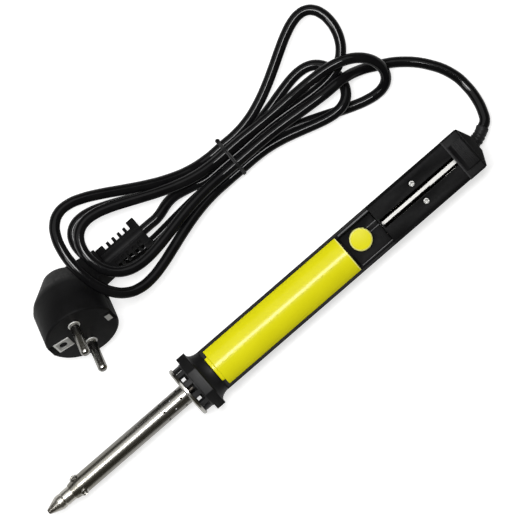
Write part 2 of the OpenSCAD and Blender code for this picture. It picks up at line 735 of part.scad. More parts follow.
module thumb_slider() {
    w = half_w + 0.2;
    edge = 1;
    stem_w = slot_w - 2 * free;
    stem_bottom = -rod_d / 2 - 1.2;
    grip_n = 5;
    color("#3c3c3f") lay() difference() {
        union() {
            sweep_x(slider_x, slider_l) polygon([[-w, saddle_z], [w, saddle_z], [w, saddle_top - edge],
                [w - edge, saddle_top], [edge - w, saddle_top], [-w, saddle_top - edge]]);
            rotate([90, 0, 0]) translate([0, 0, -thumb_w / 2]) linear_extrude(thumb_w)
                polygon([[slider_x + 1.2, saddle_z + 1], [slider_x + slider_l, saddle_z + 1],
                    [slider_x + slider_l, saddle_top + thumb_h - 1],
                    [slider_x + slider_l - 1, saddle_top + thumb_h],
                    [slider_x + 3.2, saddle_top + thumb_h], [slider_x + 1.2, saddle_top + 0.6]]);
            translate([stem_x, -stem_w / 2, stem_bottom]) cube([stem_l, stem_w, saddle_z - stem_bottom + 0.5]);
        }
        rod_x(stem_x - 1, rod_end - stem_x + 1, rod_d + 2 * slip);
        for (i = [0:grip_n - 1]) translate([slider_x + 3.8 + i * 1.15, -thumb_w, saddle_top + thumb_h - 0.4])
            cube([0.5, 2 * thumb_w, 1]);
        translate([stem_x + stem_l / 2, half_w, 0]) rotate([90, 0, 0]) cylinder(h = 2 * half_w, d = pin_d);
    }
}

module slider_pin() {
    pin_l = slot_w - 2 * free;
    color("silver") lay() translate([stem_x + stem_l / 2, pin_l / 2, 0]) rotate([90, 0, 0])
        cylinder(h = pin_l, d = pin_d);
}

// Button with the ring that hooks the rod: the ring hangs below the plate and the rod runs through it
module release_button() {
    crown = 0.6;
    cap_bottom = plate_z - plate_t - 0.4;
    window_top = rod_d / 2 + button_travel + free;
    window_w = rod_d + 2 * free;
    window_bottom = -rod_d / 2 - free;
    color("#ded41f") lay() difference() {
        union() {
            translate([button_x, button_y, cap_bottom])
                cylinder(h = button_top - crown - cap_bottom, d = button_d);
            translate([button_x, button_y, button_top - crown])
                cylinder(h = crown, d1 = button_d, d2 = button_d - 2 * crown);
            translate([button_x - ring_t / 2, -ring_w_out / 2, ring_bottom])
                cube([ring_t, ring_w_out, cap_bottom - ring_bottom + 0.5]);
        }
        translate([button_x - button_d, -window_w / 2, window_bottom])
            cube([2 * button_d, window_w, window_top - window_bottom]);
    }
}

module button_spring() {
    color("silver") lay() translate([button_x, button_y, boss_top + skin])
        coil(button_spring_d, button_wire_d, 5, ring_bottom - boss_top - 2 * skin);
}

// Wiring
module terminal_block() {
    color("#d8d4c8") lay() difference() {
        translate([block_x, -block_w / 2, block_z - block_h / 2]) cube([block_l, block_w, block_h]);
        for (y = [-block_y, 0, block_y]) translate([0, y, block_z])
            rod_x(block_x - 1, block_l + 2, lead_d + 0.2);
    }
}

// Wires run under the pump from the block, rise in front of it and go into the barrel beside the suction tube
module mains_leads() {
    tail_x = heater_x + heater_l;
    side_y = 6.6;
    color("saddlebrown") lay() for (s = [-1, 1])
        cord([[clamp_x - 3, cord_y + s * 1.3, cord_z], [clamp_x - 5.5, cord_y + s * 1.5, cord_z],
            [deck_screw_x + 3, s * 1.6, block_z], [deck_screw_x - 1.8, s * 2.4, block_z],
            [block_x + block_l, s * block_y, block_z], [block_x, s * block_y, block_z],
            [block_x - 4, s * (block_y + 0.6), block_z], [button_x + 8, s * side_y, lead_run_z - 0.8],
            [button_x - 8, s * side_y, lead_run_z - 0.4], [pump_end - 2, s * lead_run_y, lead_run_z],
            [cap_x + 2, s * lead_run_y, lead_run_z], [cap_x - 1.5, s * 4.2, -8.6],
            [barrel_end + 4.5, s * 2.2, -4], [barrel_end + 2, s * lead_y, lead_z],
            [tail_x, s * lead_y, lead_z]], lead_d, 6);
}

module earth_lead() {
    wall_z = barrel_wall / 2 - barrel_d / 2;
    side_y = 6;
    color("yellowgreen") lay()
        cord([[clamp_x - 3, cord_y, cord_z - 1.5], [clamp_x - 5.5, cord_y, cord_z - 1.8],
            [block_x + block_l + 6, 0, block_z], [block_x + block_l, 0, block_z], [block_x, 0, block_z],
            [block_x - 3, 0.4, block_z], [button_x + 8, side_y - 1.4, lead_run_z - 1.6],
            [button_x + 5, side_y, lead_run_z - 2], [button_x - 5, side_y, lead_run_z - 1.8],
            [button_x - 9, side_y - 2, lead_run_z - 1.2], [pump_end - 2, 0, lead_run_z],
            [cap_x + 2, 0, lead_run_z], [cap_x - 1.5, 0, -9], [barrel_end + 4.5, 0, wall_z - 0.6],
            [barrel_end + 2, 0, wall_z], [barrel_end, 0, wall_z]], lead_d, 6);
}

module cord_inner() {
    color("#161617") lay() translate([0, cord_y, cord_z])
        rod_x(clamp_x - 3, relief_x - clamp_x + 3, cord_d);
}

module clamp_screw_places() {
    for (s = [-1, 1]) translate([clamp_x + clamp_l / 2, cord_y + s * clamp_screw_y, 0]) children();
}
module cord_clamp() {
    color("#d8d4c8") lay() difference() {
        translate([clamp_x, cord_y - clamp_w / 2, clamp_z]) cube([clamp_l, clamp_w, clamp_t]);
        translate([0, cord_y, cord_z]) rod_x(clamp_x - 1, clamp_l + 2, cord_d);
        clamp_screw_places() {
            translate([0, 0, clamp_z - 1]) cylinder(h = 9, d = clamp_screw_d + 2 * slip);
            translate([0, 0, clamp_z + clamp_t - 1]) cylinder(h = 2, d = clamp_screw_head_d + 2 * slip);
        }
    }
}
module clamp_screws() {
    color("silver") lay() clamp_screw_places() {
        translate([0, 0, clamp_z + clamp_t - 1]) cylinder(h = 0.9, d = clamp_screw_head_d);
        translate([0, 0, clamp_screw_bottom]) cylinder(h = clamp_screw_l - 0.5, d = clamp_screw_d);
    }
}

// Moulded strain relief: a sleeve and flange held in the tail cap, then a bent taper with rings
module strain_relief() {
    ring_r = [for (i = [0:len(relief_path) - 1])
        relief_d / 2 + (relief_tip_d - relief_d) / 2 * i / (len(relief_path) - 1) - (i % 2 == 1 ? 0.35 : 0)];
    color("#19191a") lay() {
        translate([0, cord_y, cord_z]) {
            rod_x(relief_x, overall_l - relief_x, relief_d);
            rod_x(case_end - tail_plug_l - relief_flange_t, relief_flange_t, relief_flange_d);
        }
        tube(relief_path, ring_r, 16);
    }
}

// Cord from the strain relief to the tie
module cord_lead() { color("#161617") on_bench() cord(lead_path, cord_d, 10); }

// Loops through the tie: each runs out from one strand, swells to its half width and comes back to the next
function strand(i) = [tie_at[1] + strand_slots[i][0] * strand_pitch,
    tie_lift + strand_slots[i][1] * strand_pitch * sin(60)];
function swell(u) = 2 * pow(sin(180 * u), 2) * cos(180 * u) / 0.77;
function loop_point(u, a, b, side, loop) = let (reach = sin(180 * u), ease = u * u * (3 - 2 * u),
    from = a * (1 - ease) + b * ease)
    [tie_at[0] + side * (tie_half + (loop[0] - tie_half) * reach),
        from[0] - side * loop[1] * swell(u) + loop[2] * pow(reach, 1.5),
        from[1] * (1 - reach) + loop[3] * reach - side * loop[4] * swell(u)];
function loop_points(i) = let (side = i % 2 == 0 ? 1 : -1)
    [for (k = [1:loop_rings - 1]) loop_point(k / loop_rings, strand(i), strand(i + 1), side, loops[i])];
function tie_run(i) = let (side = i % 2 == 0 ? 1 : -1)
    [for (k = [-1:1]) [tie_at[0] + side * k * tie_half, strand(i)[0], strand(i)[1]]];
function hank_points() =
    [for (i = [0:len(loops)]) each concat(tie_run(i), i < len(loops) ? loop_points(i) : [])];
function halved(p) = [for (i = [0:len(p) - 2]) each [p[i], (p[i] + p[i + 1]) / 2]];
function least_gap(p, apart) =
    min([for (i = [0:len(p) - 1], j = [i + apart:1:len(p) - 1]) norm(p[i] - p[j])]) - cord_d;
module cord_hank() {
    points = hank_points();
    echo(least_gap_of_the_hank = least_gap(halved(points), 12));
    color("#161617") on_bench() cord(points, cord_d, 6);
}

// Cord from the tie to the plug's boot
module cord_tail() { color("#161617") on_bench() cord(tail_path, cord_d, 10); }

module strands_outline(r) {
    hull() for (i = [0:len(strand_slots) - 1]) translate(strand(i)) circle(r, $fn = 24);
}
module hank_tie() {
    color("#101011") on_bench() sweep_x(tie_at[0] - tie_w / 2, tie_w) difference() {
        strands_outline(cord_r + tie_t + slip);
        strands_outline(cord_r + slip);
    }
}

// Plug, drawn with its pins along Z and its cord leaving along X
module plug_frame() {
    on_bench() translate(plug_at) rotate([0, 0, plug_turn]) rotate([plug_tilt, 0, 0])
        rotate([0, 0, plug_roll]) children();
}
module plug_body() {
    r = plug_d / 2;
    neck_w = 10;
    neck_end = neck_l + 2;
    color("#1a1a1b") difference() {
        plug_frame() union() {
            rotate_extrude() polygon(concat([[0, 0], [r - 0.8, 0], [r, -0.8]],
                [for (p = plug_side) [p[0], -p[1]]], [[0, -plug_depth]]));
            translate([0, neck_w / 2, boot_z - boot_w / 2]) rotate([90, 0, 0]) linear_extrude(neck_w)
                polygon([[0, 1.5], [neck_end, 2], [neck_end, boot_w - 2], [neck_l - 6, boot_w],
                    [0, boot_w + 3]]);
        }
        plug_frame() for (i = [0, 1]) rotate([0, 0, 180 * i]) {
            translate([clip_x - skin, -clip_w / 2 - skin, -clip_drop - skin])
                cube([r, clip_w + 2 * skin, clip_drop + 2]);
            translate([clip_x - clip_tabs[i] - skin, -clip_w / 2 - skin, -clip_t])
                cube([r, clip_w + 2 * skin, clip_t + 1]);
        }
        boot_frame() translate([0, -r, -r]) cube([r, 2 * r, 2 * r]);
    }
}
// The boot bends from the plug's own direction to the cord's
module boot_frame() {
    on_bench() translate(boot_start) rotate([plug_tilt, 0, 0]) children();
}
// Earth contacts: a strip down each side of the rim with a tab turned in over the face, one of them drilled
module earth_clips() {
    color("gainsboro") plug_frame() for (i = [0, 1]) rotate([0, 0, 180 * i]) {
        translate([clip_x, -clip_w / 2, -clip_drop]) cube([clip_t, clip_w, clip_drop]);
        difference() {
            translate([clip_x - clip_tabs[i], -clip_w / 2, -clip_t])
                cube([clip_tabs[i] + clip_t, clip_w, clip_t]);
            translate([clip_x - clip_hole_in, 0, -2 * clip_t]) cylinder(h = 4 * clip_t, d = clip_hole_d);
        }
    }
}
module plug_pins() {
    nose = 1.5;
    color("silver") plug_frame() for (s = [-1, 1]) translate([0, s * plug_pin_pitch / 2, 0])
        rotate_extrude() polygon([[0, 0], [plug_pin_d / 2, 0], [plug_pin_d / 2, plug_pin_l - nose],
            [plug_pin_d / 2 - nose * 0.4, plug_pin_l - nose * 0.3], [plug_pin_d / 2 - nose, plug_pin_l],
            [0, plug_pin_l]]);
}

// Flat comb that lets the cord bend: a plate at the plug, small teeth and an end block on both sides of a ridge
module plug_boot() {
    plate_l = 4.6;
    block_end_l = 4.3;
    ridge_d = cord_d + 2.2;
    ridge_tip_d = cord_d + 1.4;
    comb_t = 4.4;
    tooth_pitch = (boot_l - plate_l - block_end_l) / (boot_teeth + 0.5);
    tooth_l = 0.45 * tooth_pitch;
    color("#1a1a1b") boot_frame() {
        translate([0, comb_t / 2, 0]) rotate([90, 0, 0]) linear_extrude(comb_t) {
            translate([0, -boot_w / 2 + 1]) square([plate_l, boot_w - 2]);
            translate([boot_l - block_end_l, -boot_w / 2]) square([block_end_l, boot_w]);
            translate([0, -boot_spine_w / 2]) square([boot_l, boot_spine_w]);
            for (i = [0:boot_teeth - 1]) translate([plate_l + (i + 0.55) * tooth_pitch, -boot_w / 2 + 1.4])
                square([tooth_l, boot_w - 2.8]);
        }
        rotate([0, 90, 0]) cylinder(h = boot_l, d1 = ridge_d, d2 = ridge_tip_d);
    }
}

nozzle();
tip_screws();
heater_barrel();
suction_tube();
heater_core();
heater_winding();
barrel_flange();
front_collar();
heat_washer();
lower_casing();
top_cover();
bay_plate();
rear_cover();
cover_screws();
tail_cap();
pump_cylinder();
pump_front_cap();
pump_rear_cap();
rod_bush();
piston();
piston_ring();
piston_rod();
main_spring();
thumb_slider();
slider_pin();
release_button();
button_spring();
terminal_block();
mains_leads();
earth_lead();
cord_inner();
cord_clamp();
clamp_screws();
strain_relief();
cord_lead();
cord_hank();
cord_tail();
hank_tie();
plug_body();
plug_boot();
plug_pins();
earth_clips();
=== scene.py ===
"""Mains desoldering iron with a spring suction pump, laid on a white bench with its cord tied beside it."""
import json
import math

import bmesh
import bpy
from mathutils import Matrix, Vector
from mathutils.geometry import convex_hull_2d


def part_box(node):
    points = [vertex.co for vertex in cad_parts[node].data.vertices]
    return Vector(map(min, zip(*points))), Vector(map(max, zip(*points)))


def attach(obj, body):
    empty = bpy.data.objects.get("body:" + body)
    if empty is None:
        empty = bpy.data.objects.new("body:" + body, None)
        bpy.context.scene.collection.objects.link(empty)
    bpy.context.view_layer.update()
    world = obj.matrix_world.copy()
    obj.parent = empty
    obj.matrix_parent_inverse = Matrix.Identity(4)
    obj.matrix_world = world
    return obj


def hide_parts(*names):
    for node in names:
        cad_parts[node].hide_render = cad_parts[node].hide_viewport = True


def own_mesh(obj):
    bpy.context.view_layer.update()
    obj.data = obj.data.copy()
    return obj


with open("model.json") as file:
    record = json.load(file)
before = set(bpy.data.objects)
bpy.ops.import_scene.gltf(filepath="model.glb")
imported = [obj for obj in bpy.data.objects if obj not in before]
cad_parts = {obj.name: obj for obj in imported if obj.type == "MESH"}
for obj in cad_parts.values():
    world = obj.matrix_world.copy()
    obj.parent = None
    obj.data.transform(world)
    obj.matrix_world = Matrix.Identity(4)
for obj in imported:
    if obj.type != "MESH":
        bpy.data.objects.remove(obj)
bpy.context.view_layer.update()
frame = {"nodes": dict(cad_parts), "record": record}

# View: straight down on the bench, turned so that the nozzle points to the lower left.
# The lens is a long one, so the sides of the handle hardly show.
mm = 0.001
view_x, view_y, view_height = 21.5, 25.0, 2500
view_turn = -40.84
camera = bpy.data.objects.new("camera", bpy.data.cameras.new("camera"))
camera.data.sensor_width = 36
camera.data.lens = 343.4
camera.location = (view_x * mm, view_y * mm, view_height * mm)
camera.rotation_euler = (0, 0, math.radians(view_turn))
bpy.context.collection.objects.link(camera)
scene = bpy.context.scene
scene.camera = camera
scene.view_settings.view_transform = "Standard"


# Bench: a plain white table top, evenly lit, which keeps a soft shadow under the object.
# Shader maths from here on goes through Wire, one socket of a finish's nodes.
class Wire:
    def __init__(self, tree, socket=None):
        self.tree = tree
        self.socket = socket

    def node(self, kind, settings=None, sockets=None, out=0):
        made = self.tree.nodes.new(kind)
        for name, value in (settings or {}).items():
            if name == "stops":
                ramp = made.color_ramp.elements
                while len(ramp) < len(value):
                    ramp.new(0.5)
                for stop, (place, colour) in zip(ramp, value):
                    stop.position = place
                    stop.color = (*colour, 1)
            else:
                setattr(made, name, value)
        for name, value in (sockets or {}).items():
            self.feed(made.inputs[name], value)
        return Wire(self.tree, made.outputs[out]) if len(made.outputs) else None

    def feed(self, socket, value):
        if isinstance(value, Wire):
            self.tree.links.new(value.socket, socket)
        elif hasattr(value, "__len__") and len(value) == 3 and socket.type == "RGBA":
            socket.default_value = (*value, 1)
        else:
            socket.default_value = value

    def maths(self, operation, first, second):
        return self.node("ShaderNodeMath", {"operation": operation}, {0: first, 1: second})

    def __add__(self, other):
        return self.maths("ADD", self, other)

    def __radd__(self, other):
        return self.maths("ADD", other, self)

    def __sub__(self, other):
        return self.maths("SUBTRACT", self, other)

    def __rsub__(self, other):
        return self.maths("SUBTRACT", other, self)

    def __mul__(self, other):
        return self.maths("MULTIPLY", self, other)

    def __rmul__(self, other):
        return self.maths("MULTIPLY", other, self)

    def between(self, low, high):
        return self.node("ShaderNodeMapRange", {"clamp": True},
                         {"Value": self, "From Min": low, "From Max": high})

    def blend(self, first, second):
        return self.node("ShaderNodeMix", {"data_type": "RGBA"}, {0: self, 6: first, 7: second}, 2)


def bare_finish(name):
    material = bpy.data.materials.new(name)
    material.use_nodes = True
    material.node_tree.nodes.clear()
    return material, Wire(material.node_tree)


bench_size = 6.0
bench_drop = 0.15
bench_corners = [(x * bench_size / 2, y * bench_size / 2, 0) for x, y in ((-1, -1), (1, -1), (1, 1), (-1, 1))]
bench_mesh = bpy.data.meshes.new("bench")
bench_mesh.from_pydata(bench_corners, [], [(0, 1, 2, 3)])
bench = bpy.data.objects.new("bench", bench_mesh)
bench.location.z = -bench_drop * mm
bpy.context.collection.objects.link(bench)
bench_white, paint = bare_finish("bench_white")
gloss_share = 0.2
camera_ray, gloss_ray, glass_ray = (paint.node("ShaderNodeLightPath", out=f"Is {kind} Ray")
                                    for kind in ("Camera", "Glossy", "Transmission"))
seen = paint.maths("MAXIMUM", paint.maths("MAXIMUM", camera_ray, gloss_share * gloss_ray), glass_ray)
lit = paint.node("ShaderNodeBsdfDiffuse", None, {"Color": (0.58, 0.58, 0.58)})
glow = paint.node("ShaderNodeEmission", None, {"Color": (1, 1, 1), "Strength": 0.7})
white = paint.node("ShaderNodeAddShader", None, {0: lit, 1: glow})
bench_top = paint.node("ShaderNodeMixShader", None, {0: seen, 1: lit, 2: white})
paint.node("ShaderNodeOutputMaterial", None, {"Surface": bench_top})
bench_mesh.materials.append(bench_white)

# Light: a small strong lamp right overhead, a narrow one off the nozzle's end and a wide soft one over
# the hank, in a dark room. Shadows are short and fall away from the hank, and steel shows a bright streak
# between two dark bands.
room = bpy.data.worlds.new("room")
room.use_nodes = True
room.node_tree.nodes.clear()
air = Wire(room.node_tree)
outward = air.node("ShaderNodeTexCoord", out="Generated")
rise = air.node("ShaderNodeSeparateXYZ", None, {"Vector": outward}, "Z")
wall_stops = [(0, (0.10, 0.10, 0.09)), (0.35, (0.040, 0.037, 0.026)), (1, (0.05, 0.047, 0.036))]
walls = air.node("ShaderNodeValToRGB", {"stops": wall_stops}, {"Fac": rise})
sky = air.node("ShaderNodeBackground", None, {"Color": walls, "Strength": 1})
air.node("ShaderNodeOutputWorld", None, {"Surface": sky})
scene.world = room
for lamp_name, lamp_at, lamp_size, lamp_power in (
    ("soft_lamp", (0, 0.62, 1.14), (1.9, 1.05), 6.9),
    ("overhead_lamp", (0, 0.17, 1.25), (0.5, 0.2), 9.2),
    ("nozzle_lamp", (-0.95, 0.17, 1.25), (0.8, 0.2), 4.2),
):
    lamp = bpy.data.objects.new(lamp_name, bpy.data.lights.new(lamp_name, "AREA"))
    lamp.data.shape = "RECTANGLE"
    lamp.data.size, lamp.data.size_y = lamp_size
    lamp.data.energy = lamp_power
    lamp.location = lamp_at
    lamp.rotation_euler.x = -math.atan2(lamp_at[1], lamp_at[2])
    bpy.context.collection.objects.link(lamp)

# Mains cord: 5.5 mm round black sheath, tied into a hank of three loops each way.
# It leaves the strain relief, runs round to the tie, through all the loops, and ends in the plug's boot.
tip_to_middle = 140.25


def on_bench(x, y, z):
    """A place in metres, from millimetres behind the nozzle's end, towards the hank and over the bench."""
    return Vector(((x - tip_to_middle) * mm, y * mm, z * mm))


cord_d = 5.5
tie_at = (184, 74)
tie_half = 9
strand_pitch = 7.4
strand_lift = 3.55
strand_rise = strand_pitch * math.sin(math.radians(60))
strand_slots = [(0, 1), (1, 1), (-1, 1), (0.5, 0), (-0.5, 0), (0.5, 2), (-0.5, 2)]
strands = [(tie_at[1] + a * strand_pitch, strand_lift + b * strand_rise) for a, b in strand_slots]
# Each loop's length, half width, lean, height and bank.
loops = [(81.5, 14, 16, 15, 0), (94, 23, 11, 35, 0), (67, 10.5, -2, 8, -3), (87.5, 13, 15, 2.95, 0),
         (86, 9.5, -15, 13.4, 8.6), (86, 14.5, 9, 31, 0)]
loop_rings = 24
swell_peak = 0.77


def loop_side(i):
    return 1 if i % 2 == 0 else -1


def loop_point(i, u):
    """The point a share u along the loop from strand i to the next."""
    length, width, lean, height, bank = loops[i]
    side = loop_side(i)
    reach = math.sin(math.pi * u)
    ease = u * u * (3 - 2 * u)
    swell = 2 * reach ** 2 * math.cos(math.pi * u) / swell_peak
    y, z = (a * (1 - ease) + b * ease for a, b in zip(strands[i], strands[i + 1]))
    return (tie_at[0] + side * (tie_half + (length - tie_half) * reach),
            y - side * width * swell + lean * reach ** 1.5,
            z * (1 - reach) + height * reach - side * bank * swell)


boot_end = (127.1, 75.5, 15.19)
relief_tip = (289, 3.8, 6.8)
cord_route = [(287.2, 3, 7), relief_tip, (291.6, 5.3, 6.5), (294, 9.6, 5.4), (295.8, 16, 4), (296.4, 24, 3),
              (295.2, 33, 2.8), (289.5, 44.4, 2.8), (279.1, 55.4, 2.8), (269, 61.5, 4.4), (260, 65.6, 10),
              (251, 67.4, 16.4), (240, 67.6, 19.2), (226, 68.6, 18.8), (212, 69.8, 17.4)]
cord_route += [(tie_at[0] + x, *strands[6]) for x in (16, 12)]
for i in range(6, -1, -1):
    cord_route += [(tie_at[0] + loop_side(i) * k * tie_half, *strands[i]) for k in (1, 0, -1)]
    if i:
        cord_route += [loop_point(i - 1, k / loop_rings) for k in range(loop_rings - 1, 0, -1)]
cord_route += [(tie_at[0] - x, *strands[0]) for x in (13, 16)]
cord_route += [(158, 76.6, 10.8), (148, 78.2, 12.6)]
cord_route += [(boot_end[0] + x, boot_end[1], boot_end[2]) for x in (9, 5, -2)]

cord_curve = bpy.data.curves.new("mains_cord", "CURVE")
cord_curve.dimensions = "3D"
cord_curve.bevel_depth = cord_d / 2 * mm
cord_curve.bevel_resolution = 6
cord_curve.resolution_u = 5
cord_curve.use_fill_caps = True
spline = cord_curve.splines.new("BEZIER")
spline.bezier_points.add(len(cord_route) - 1)
for point, place in zip(spline.bezier_points, cord_route):
    point.co = on_bench(*place)
    point.handle_left_type = "AUTO"
    point.handle_right_type = "AUTO"
mains_cord = bpy.data.objects.new("mains_cord", cord_curve)
bpy.context.collection.objects.link(mains_cord)


def grain(wire, size, detail=2, rough=0.5):
    """Noise with patches of about size millimetres."""
    place = wire.node("ShaderNodeTexCoord", out="Object")
    return wire.node("ShaderNodeTexNoise", None,
                     {"Vector": place, "Scale": 1 / (size * mm), "Detail": detail, "Roughness": rough})


def mottled(wire, size, dark, light, detail=3, rough=0.5):
    """Two tones of one colour, in soft patches of about size millimetres."""
    return grain(wire, size, detail, rough).between(0.3, 0.7).blend(dark, light)


def dress(name, colour, rough, height, depth, metal=0.0, level=0.5):
    """A finish: its colour and roughness, and the height field of its relief, depth millimetres deep."""
    material, wire = bare_finish(name)
    relief = wire.node("ShaderNodeBump", None,
                       {"Strength": 1, "Distance": depth * mm, "Height": height(wire)})
    skin = wire.node("ShaderNodeBsdfPrincipled", None,
                     {"Base Color": colour(wire), "Roughness": rough(wire), "Metallic": metal,
                      "Specular IOR Level": level, "Normal": relief})
    wire.node("ShaderNodeOutputMaterial", None, {"Surface": skin})
    return material


cord_black = dress("cord_black", lambda w: mottled(w, 9, (0.004, 0.004, 0.0045), (0.007, 0.007, 0.0075), 2),
                   lambda w: 0.05 + 0.08 * grain(w, 3, 3), lambda w: grain(w, 2.2), 0.012, level=0.18)
cord_curve.materials.append(cord_black)
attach(mains_cord, "handle")
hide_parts("cord_lead", "cord_hank", "cord_tail")


# Tie: a flat black twist wire, passed once round the seven strands and twisted off at the side.
# The strip is 1.8 mm wide with a ridge over its steel core, and its ends are wound into a short pigtail.
def link(name, mesh, finish, body="handle"):
    piece = bpy.data.objects.new(name, mesh)
    bpy.context.collection.objects.link(piece)
    mesh.materials.append(finish)
    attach(piece, body)
    return piece


def baked(mesh, name, smooth=lambda face: True):
    """The finished mesh under its name, with the faces that smooth picks shaded smooth."""
    for face in mesh.faces:
        face.smooth = smooth(face)
    data = bpy.data.meshes.new(name)
    mesh.to_mesh(data)
    mesh.free()
    return data


def tube(name, places, radii, sides=16, closed=False):
    """A round tube through places, of one radius or one for each; closed joins its last ring to its first."""
    count = len(places)
    radii = radii if isinstance(radii, list) else [radii] * count
    wrap = (lambda i: i % count) if closed else (lambda i: max(0, min(count - 1, i)))
    runs = [(places[wrap(i + 1)] - places[wrap(i - 1)]).normalized() for i in range(count)]
    across = runs[0].orthogonal().normalized()
    mesh = bmesh.new()
    rings = []
    for place, run, radius in zip(places, runs, radii):
        across = (across - across.dot(run) * run).normalized()
        over = run.cross(across)
        rings.append([mesh.verts.new(place + radius * (math.cos(a) * across + math.sin(a) * over))
                      for a in (2 * math.pi * k / sides for k in range(sides))])
    for i in range(count if closed else count - 1):
        here, there = rings[i], rings[wrap(i + 1)]
        for k in range(sides):
            mesh.faces.new((here[k], here[(k + 1) % sides], there[(k + 1) % sides], there[k]))
    if not closed:
        mesh.faces.new(reversed(rings[0]))
        mesh.faces.new(rings[-1])
    return baked(mesh, name, lambda face: len(face.verts) == 4)


tie_w, tie_t, tie_gap = 1.8, 0.6, 0.12
tie_section = [(-0.5, -0.5), (0.5, -0.5), (0.62, 0), (0.5, 0.5), (0.16, 0.5), (0, 0.95), (-0.16, 0.5),
               (-0.5, 0.5), (-0.62, 0)]
section_w, section_foot, section_t = 1.24, -0.5, 1.45
corner_cuts = 6
corners = [strands[i] for i in convex_hull_2d([Vector(c) for c in strands])]
outline = []
for i, (y, z) in enumerate(corners):
    before, after = Vector(corners[i - 1]), Vector(corners[(i + 1) % len(corners)])
    first, last = Vector((y, z)) - before, after - Vector((y, z))
    start, stop = (math.atan2(-v.x, v.y) for v in (first, last))
    turn = (stop - start + math.pi) % (2 * math.pi) - math.pi
    outline += [(y, z, start + turn * k / corner_cuts) for k in range(corner_cuts + 1)]
tie_mesh = bmesh.new()
tie_rings = []
for y, z, angle in outline:
    ring = []
    for u, v in tie_section:
        reach = cord_d / 2 + tie_gap + (v - section_foot) * tie_t / section_t
        ring.append(tie_mesh.verts.new(on_bench(tie_at[0] + u * tie_w / section_w,
                                                y + math.cos(angle) * reach, z + math.sin(angle) * reach)))
    tie_rings.append(ring)
for i, here in enumerate(tie_rings):
    there = tie_rings[(i + 1) % len(tie_rings)]
    for k in range(len(here)):
        after = (k + 1) % len(here)
        tie_mesh.faces.new((here[k], here[after], there[after], there[k]))
bmesh.ops.recalc_face_normals(tie_mesh, faces=tie_mesh.faces)
tie_black = dress("tie_black",
                  lambda w: grain(w, 1.5, 3).blend((0.008, 0.008, 0.0085), (0.014, 0.014, 0.0145)),
                  lambda w: 0.3 + 0.15 * grain(w, 0.8, 3), lambda w: grain(w, 0.6), 0.03, level=0.12)
twist_tie = link("twist_tie", baked(tie_mesh, "twist_tie", lambda face: False), tie_black)
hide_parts("hank_tie")
side_y, side_z = max(corners)
pigtail_turns, pigtail_l, pigtail_steps = 3, 7.5, 40
pigtail_r, pigtail_wire_r, pigtail_lean = 0.55, 0.5, 0.5
pigtail_out, pigtail_top = 0.9, 1.5
pigtail_y, pigtail_z = side_y + cord_d / 2 + pigtail_out, side_z + pigtail_top
for end in (0, 1):
    winding = []
    for k in range(pigtail_steps + 1):
        down = k / pigtail_steps
        angle = 2 * math.pi * (pigtail_turns * down + end / 2)
        winding.append(on_bench(tie_at[0] + pigtail_r * math.cos(angle) + pigtail_lean * down,
                                pigtail_y + pigtail_r * math.sin(angle), pigtail_z - pigtail_l * down))
    tie_end = tube(f"tie_end_{end}", winding, pigtail_wire_r * mm, 8)
    link(f"tie_end_{end}", tie_end, tie_black)

# Strain relief: soft black sleeve moulded on the cord and held in the tail of the handle.
# It bends towards the hank, tapers, and has shallow grooves and a bead at its end.
axis_z = 16


def laid(x, y, z):
    """A place on the iron, from its distances behind the nozzle's end and off its axis."""
    return on_bench(x, y, z + axis_z)


def from_tip(x):
    """Millimetres behind the nozzle's end, of a place in metres."""
    return x / mm + tip_to_middle


def eased(points, step=1.2, passes=4):
    """The line through points, cut into steps of about step millimetres, with its corners eased."""
    places = []
    for here, there in zip(points, points[1:]):
        cuts = max(1, round((there - here).length / (step * mm)))
        places += [here.lerp(there, k / cuts) for k in range(cuts)]
    places.append(points[-1])
    for _ in range(passes):
        inner = [(a + 2 * b + c) / 4 for a, b, c in zip(places, places[1:], places[2:])]
        places = [places[0], *inner, places[-1]]
    return places


relief_line = [(270, 0.8, -8.5), (279.5, 0.8, -8.5), (282, 0.9, -8.5), (284, 1.4, -8.6), (285.7, 2.1, -8.8),
               (287.4, 2.9, -9.0), (289, 3.8, -9.2)]
relief_places = eased([laid(*point) for point in relief_line], step=0.3)
relief_r, relief_tip_r = 3.7, 2.95
relief_wall_x, relief_end_x = 280, relief_line[-1][0]
grooves_from, grooves_to, groove_pitch, groove_w, groove_depth = 281.5, 286.6, 1.7, 0.75, 0.3
bead_from, bead_h, bead_round = 287.5, 0.22, 0.25
relief_radii = []
for place in relief_places:
    x = from_tip(place.x)
    taper = max(0, x - relief_wall_x) / (relief_end_x - relief_wall_x)
    radius = relief_r - (relief_r - relief_tip_r) * taper
    if grooves_from < x < grooves_to and (x - grooves_from) % groove_pitch < groove_w:
        radius -= groove_depth
    if x > bead_from:
        radius += bead_h
    relief_radii.append(radius * mm)
relief_radii[-1] -= bead_round * mm
relief_black = dress("relief_black", lambda w: mottled(w, 5, (0.011, 0.011, 0.012), (0.02, 0.02, 0.021), 2),
                     lambda w: 0.42 + 0.16 * grain(w, 1.5, 3), lambda w: grain(w, 0.35, 3), 0.02, level=0.25)
strain_sleeve = link("strain_sleeve", tube("strain_sleeve", relief_places, relief_radii, 24),
                     relief_black)
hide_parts("strain_relief")

# Plug: angled earthed plug, moulded in black rubbery plastic in one shot round its contacts.
# It lies on the back edge of its body, so its two pins point up and away from the hank.
merge_gap, flat_angle, corner_angle = 0.0005, 0.6, 28


def solid(node):
    """A copy of the node's own solid, with each flat face in one piece."""
    mesh = bmesh.new()
    mesh.from_mesh(frame["nodes"][node].data)
    bmesh.ops.remove_doubles(mesh, verts=mesh.verts, dist=merge_gap * mm)
    bmesh.ops.dissolve_limit(mesh, angle_limit=math.radians(flat_angle), verts=mesh.verts, edges=mesh.edges)
    return mesh


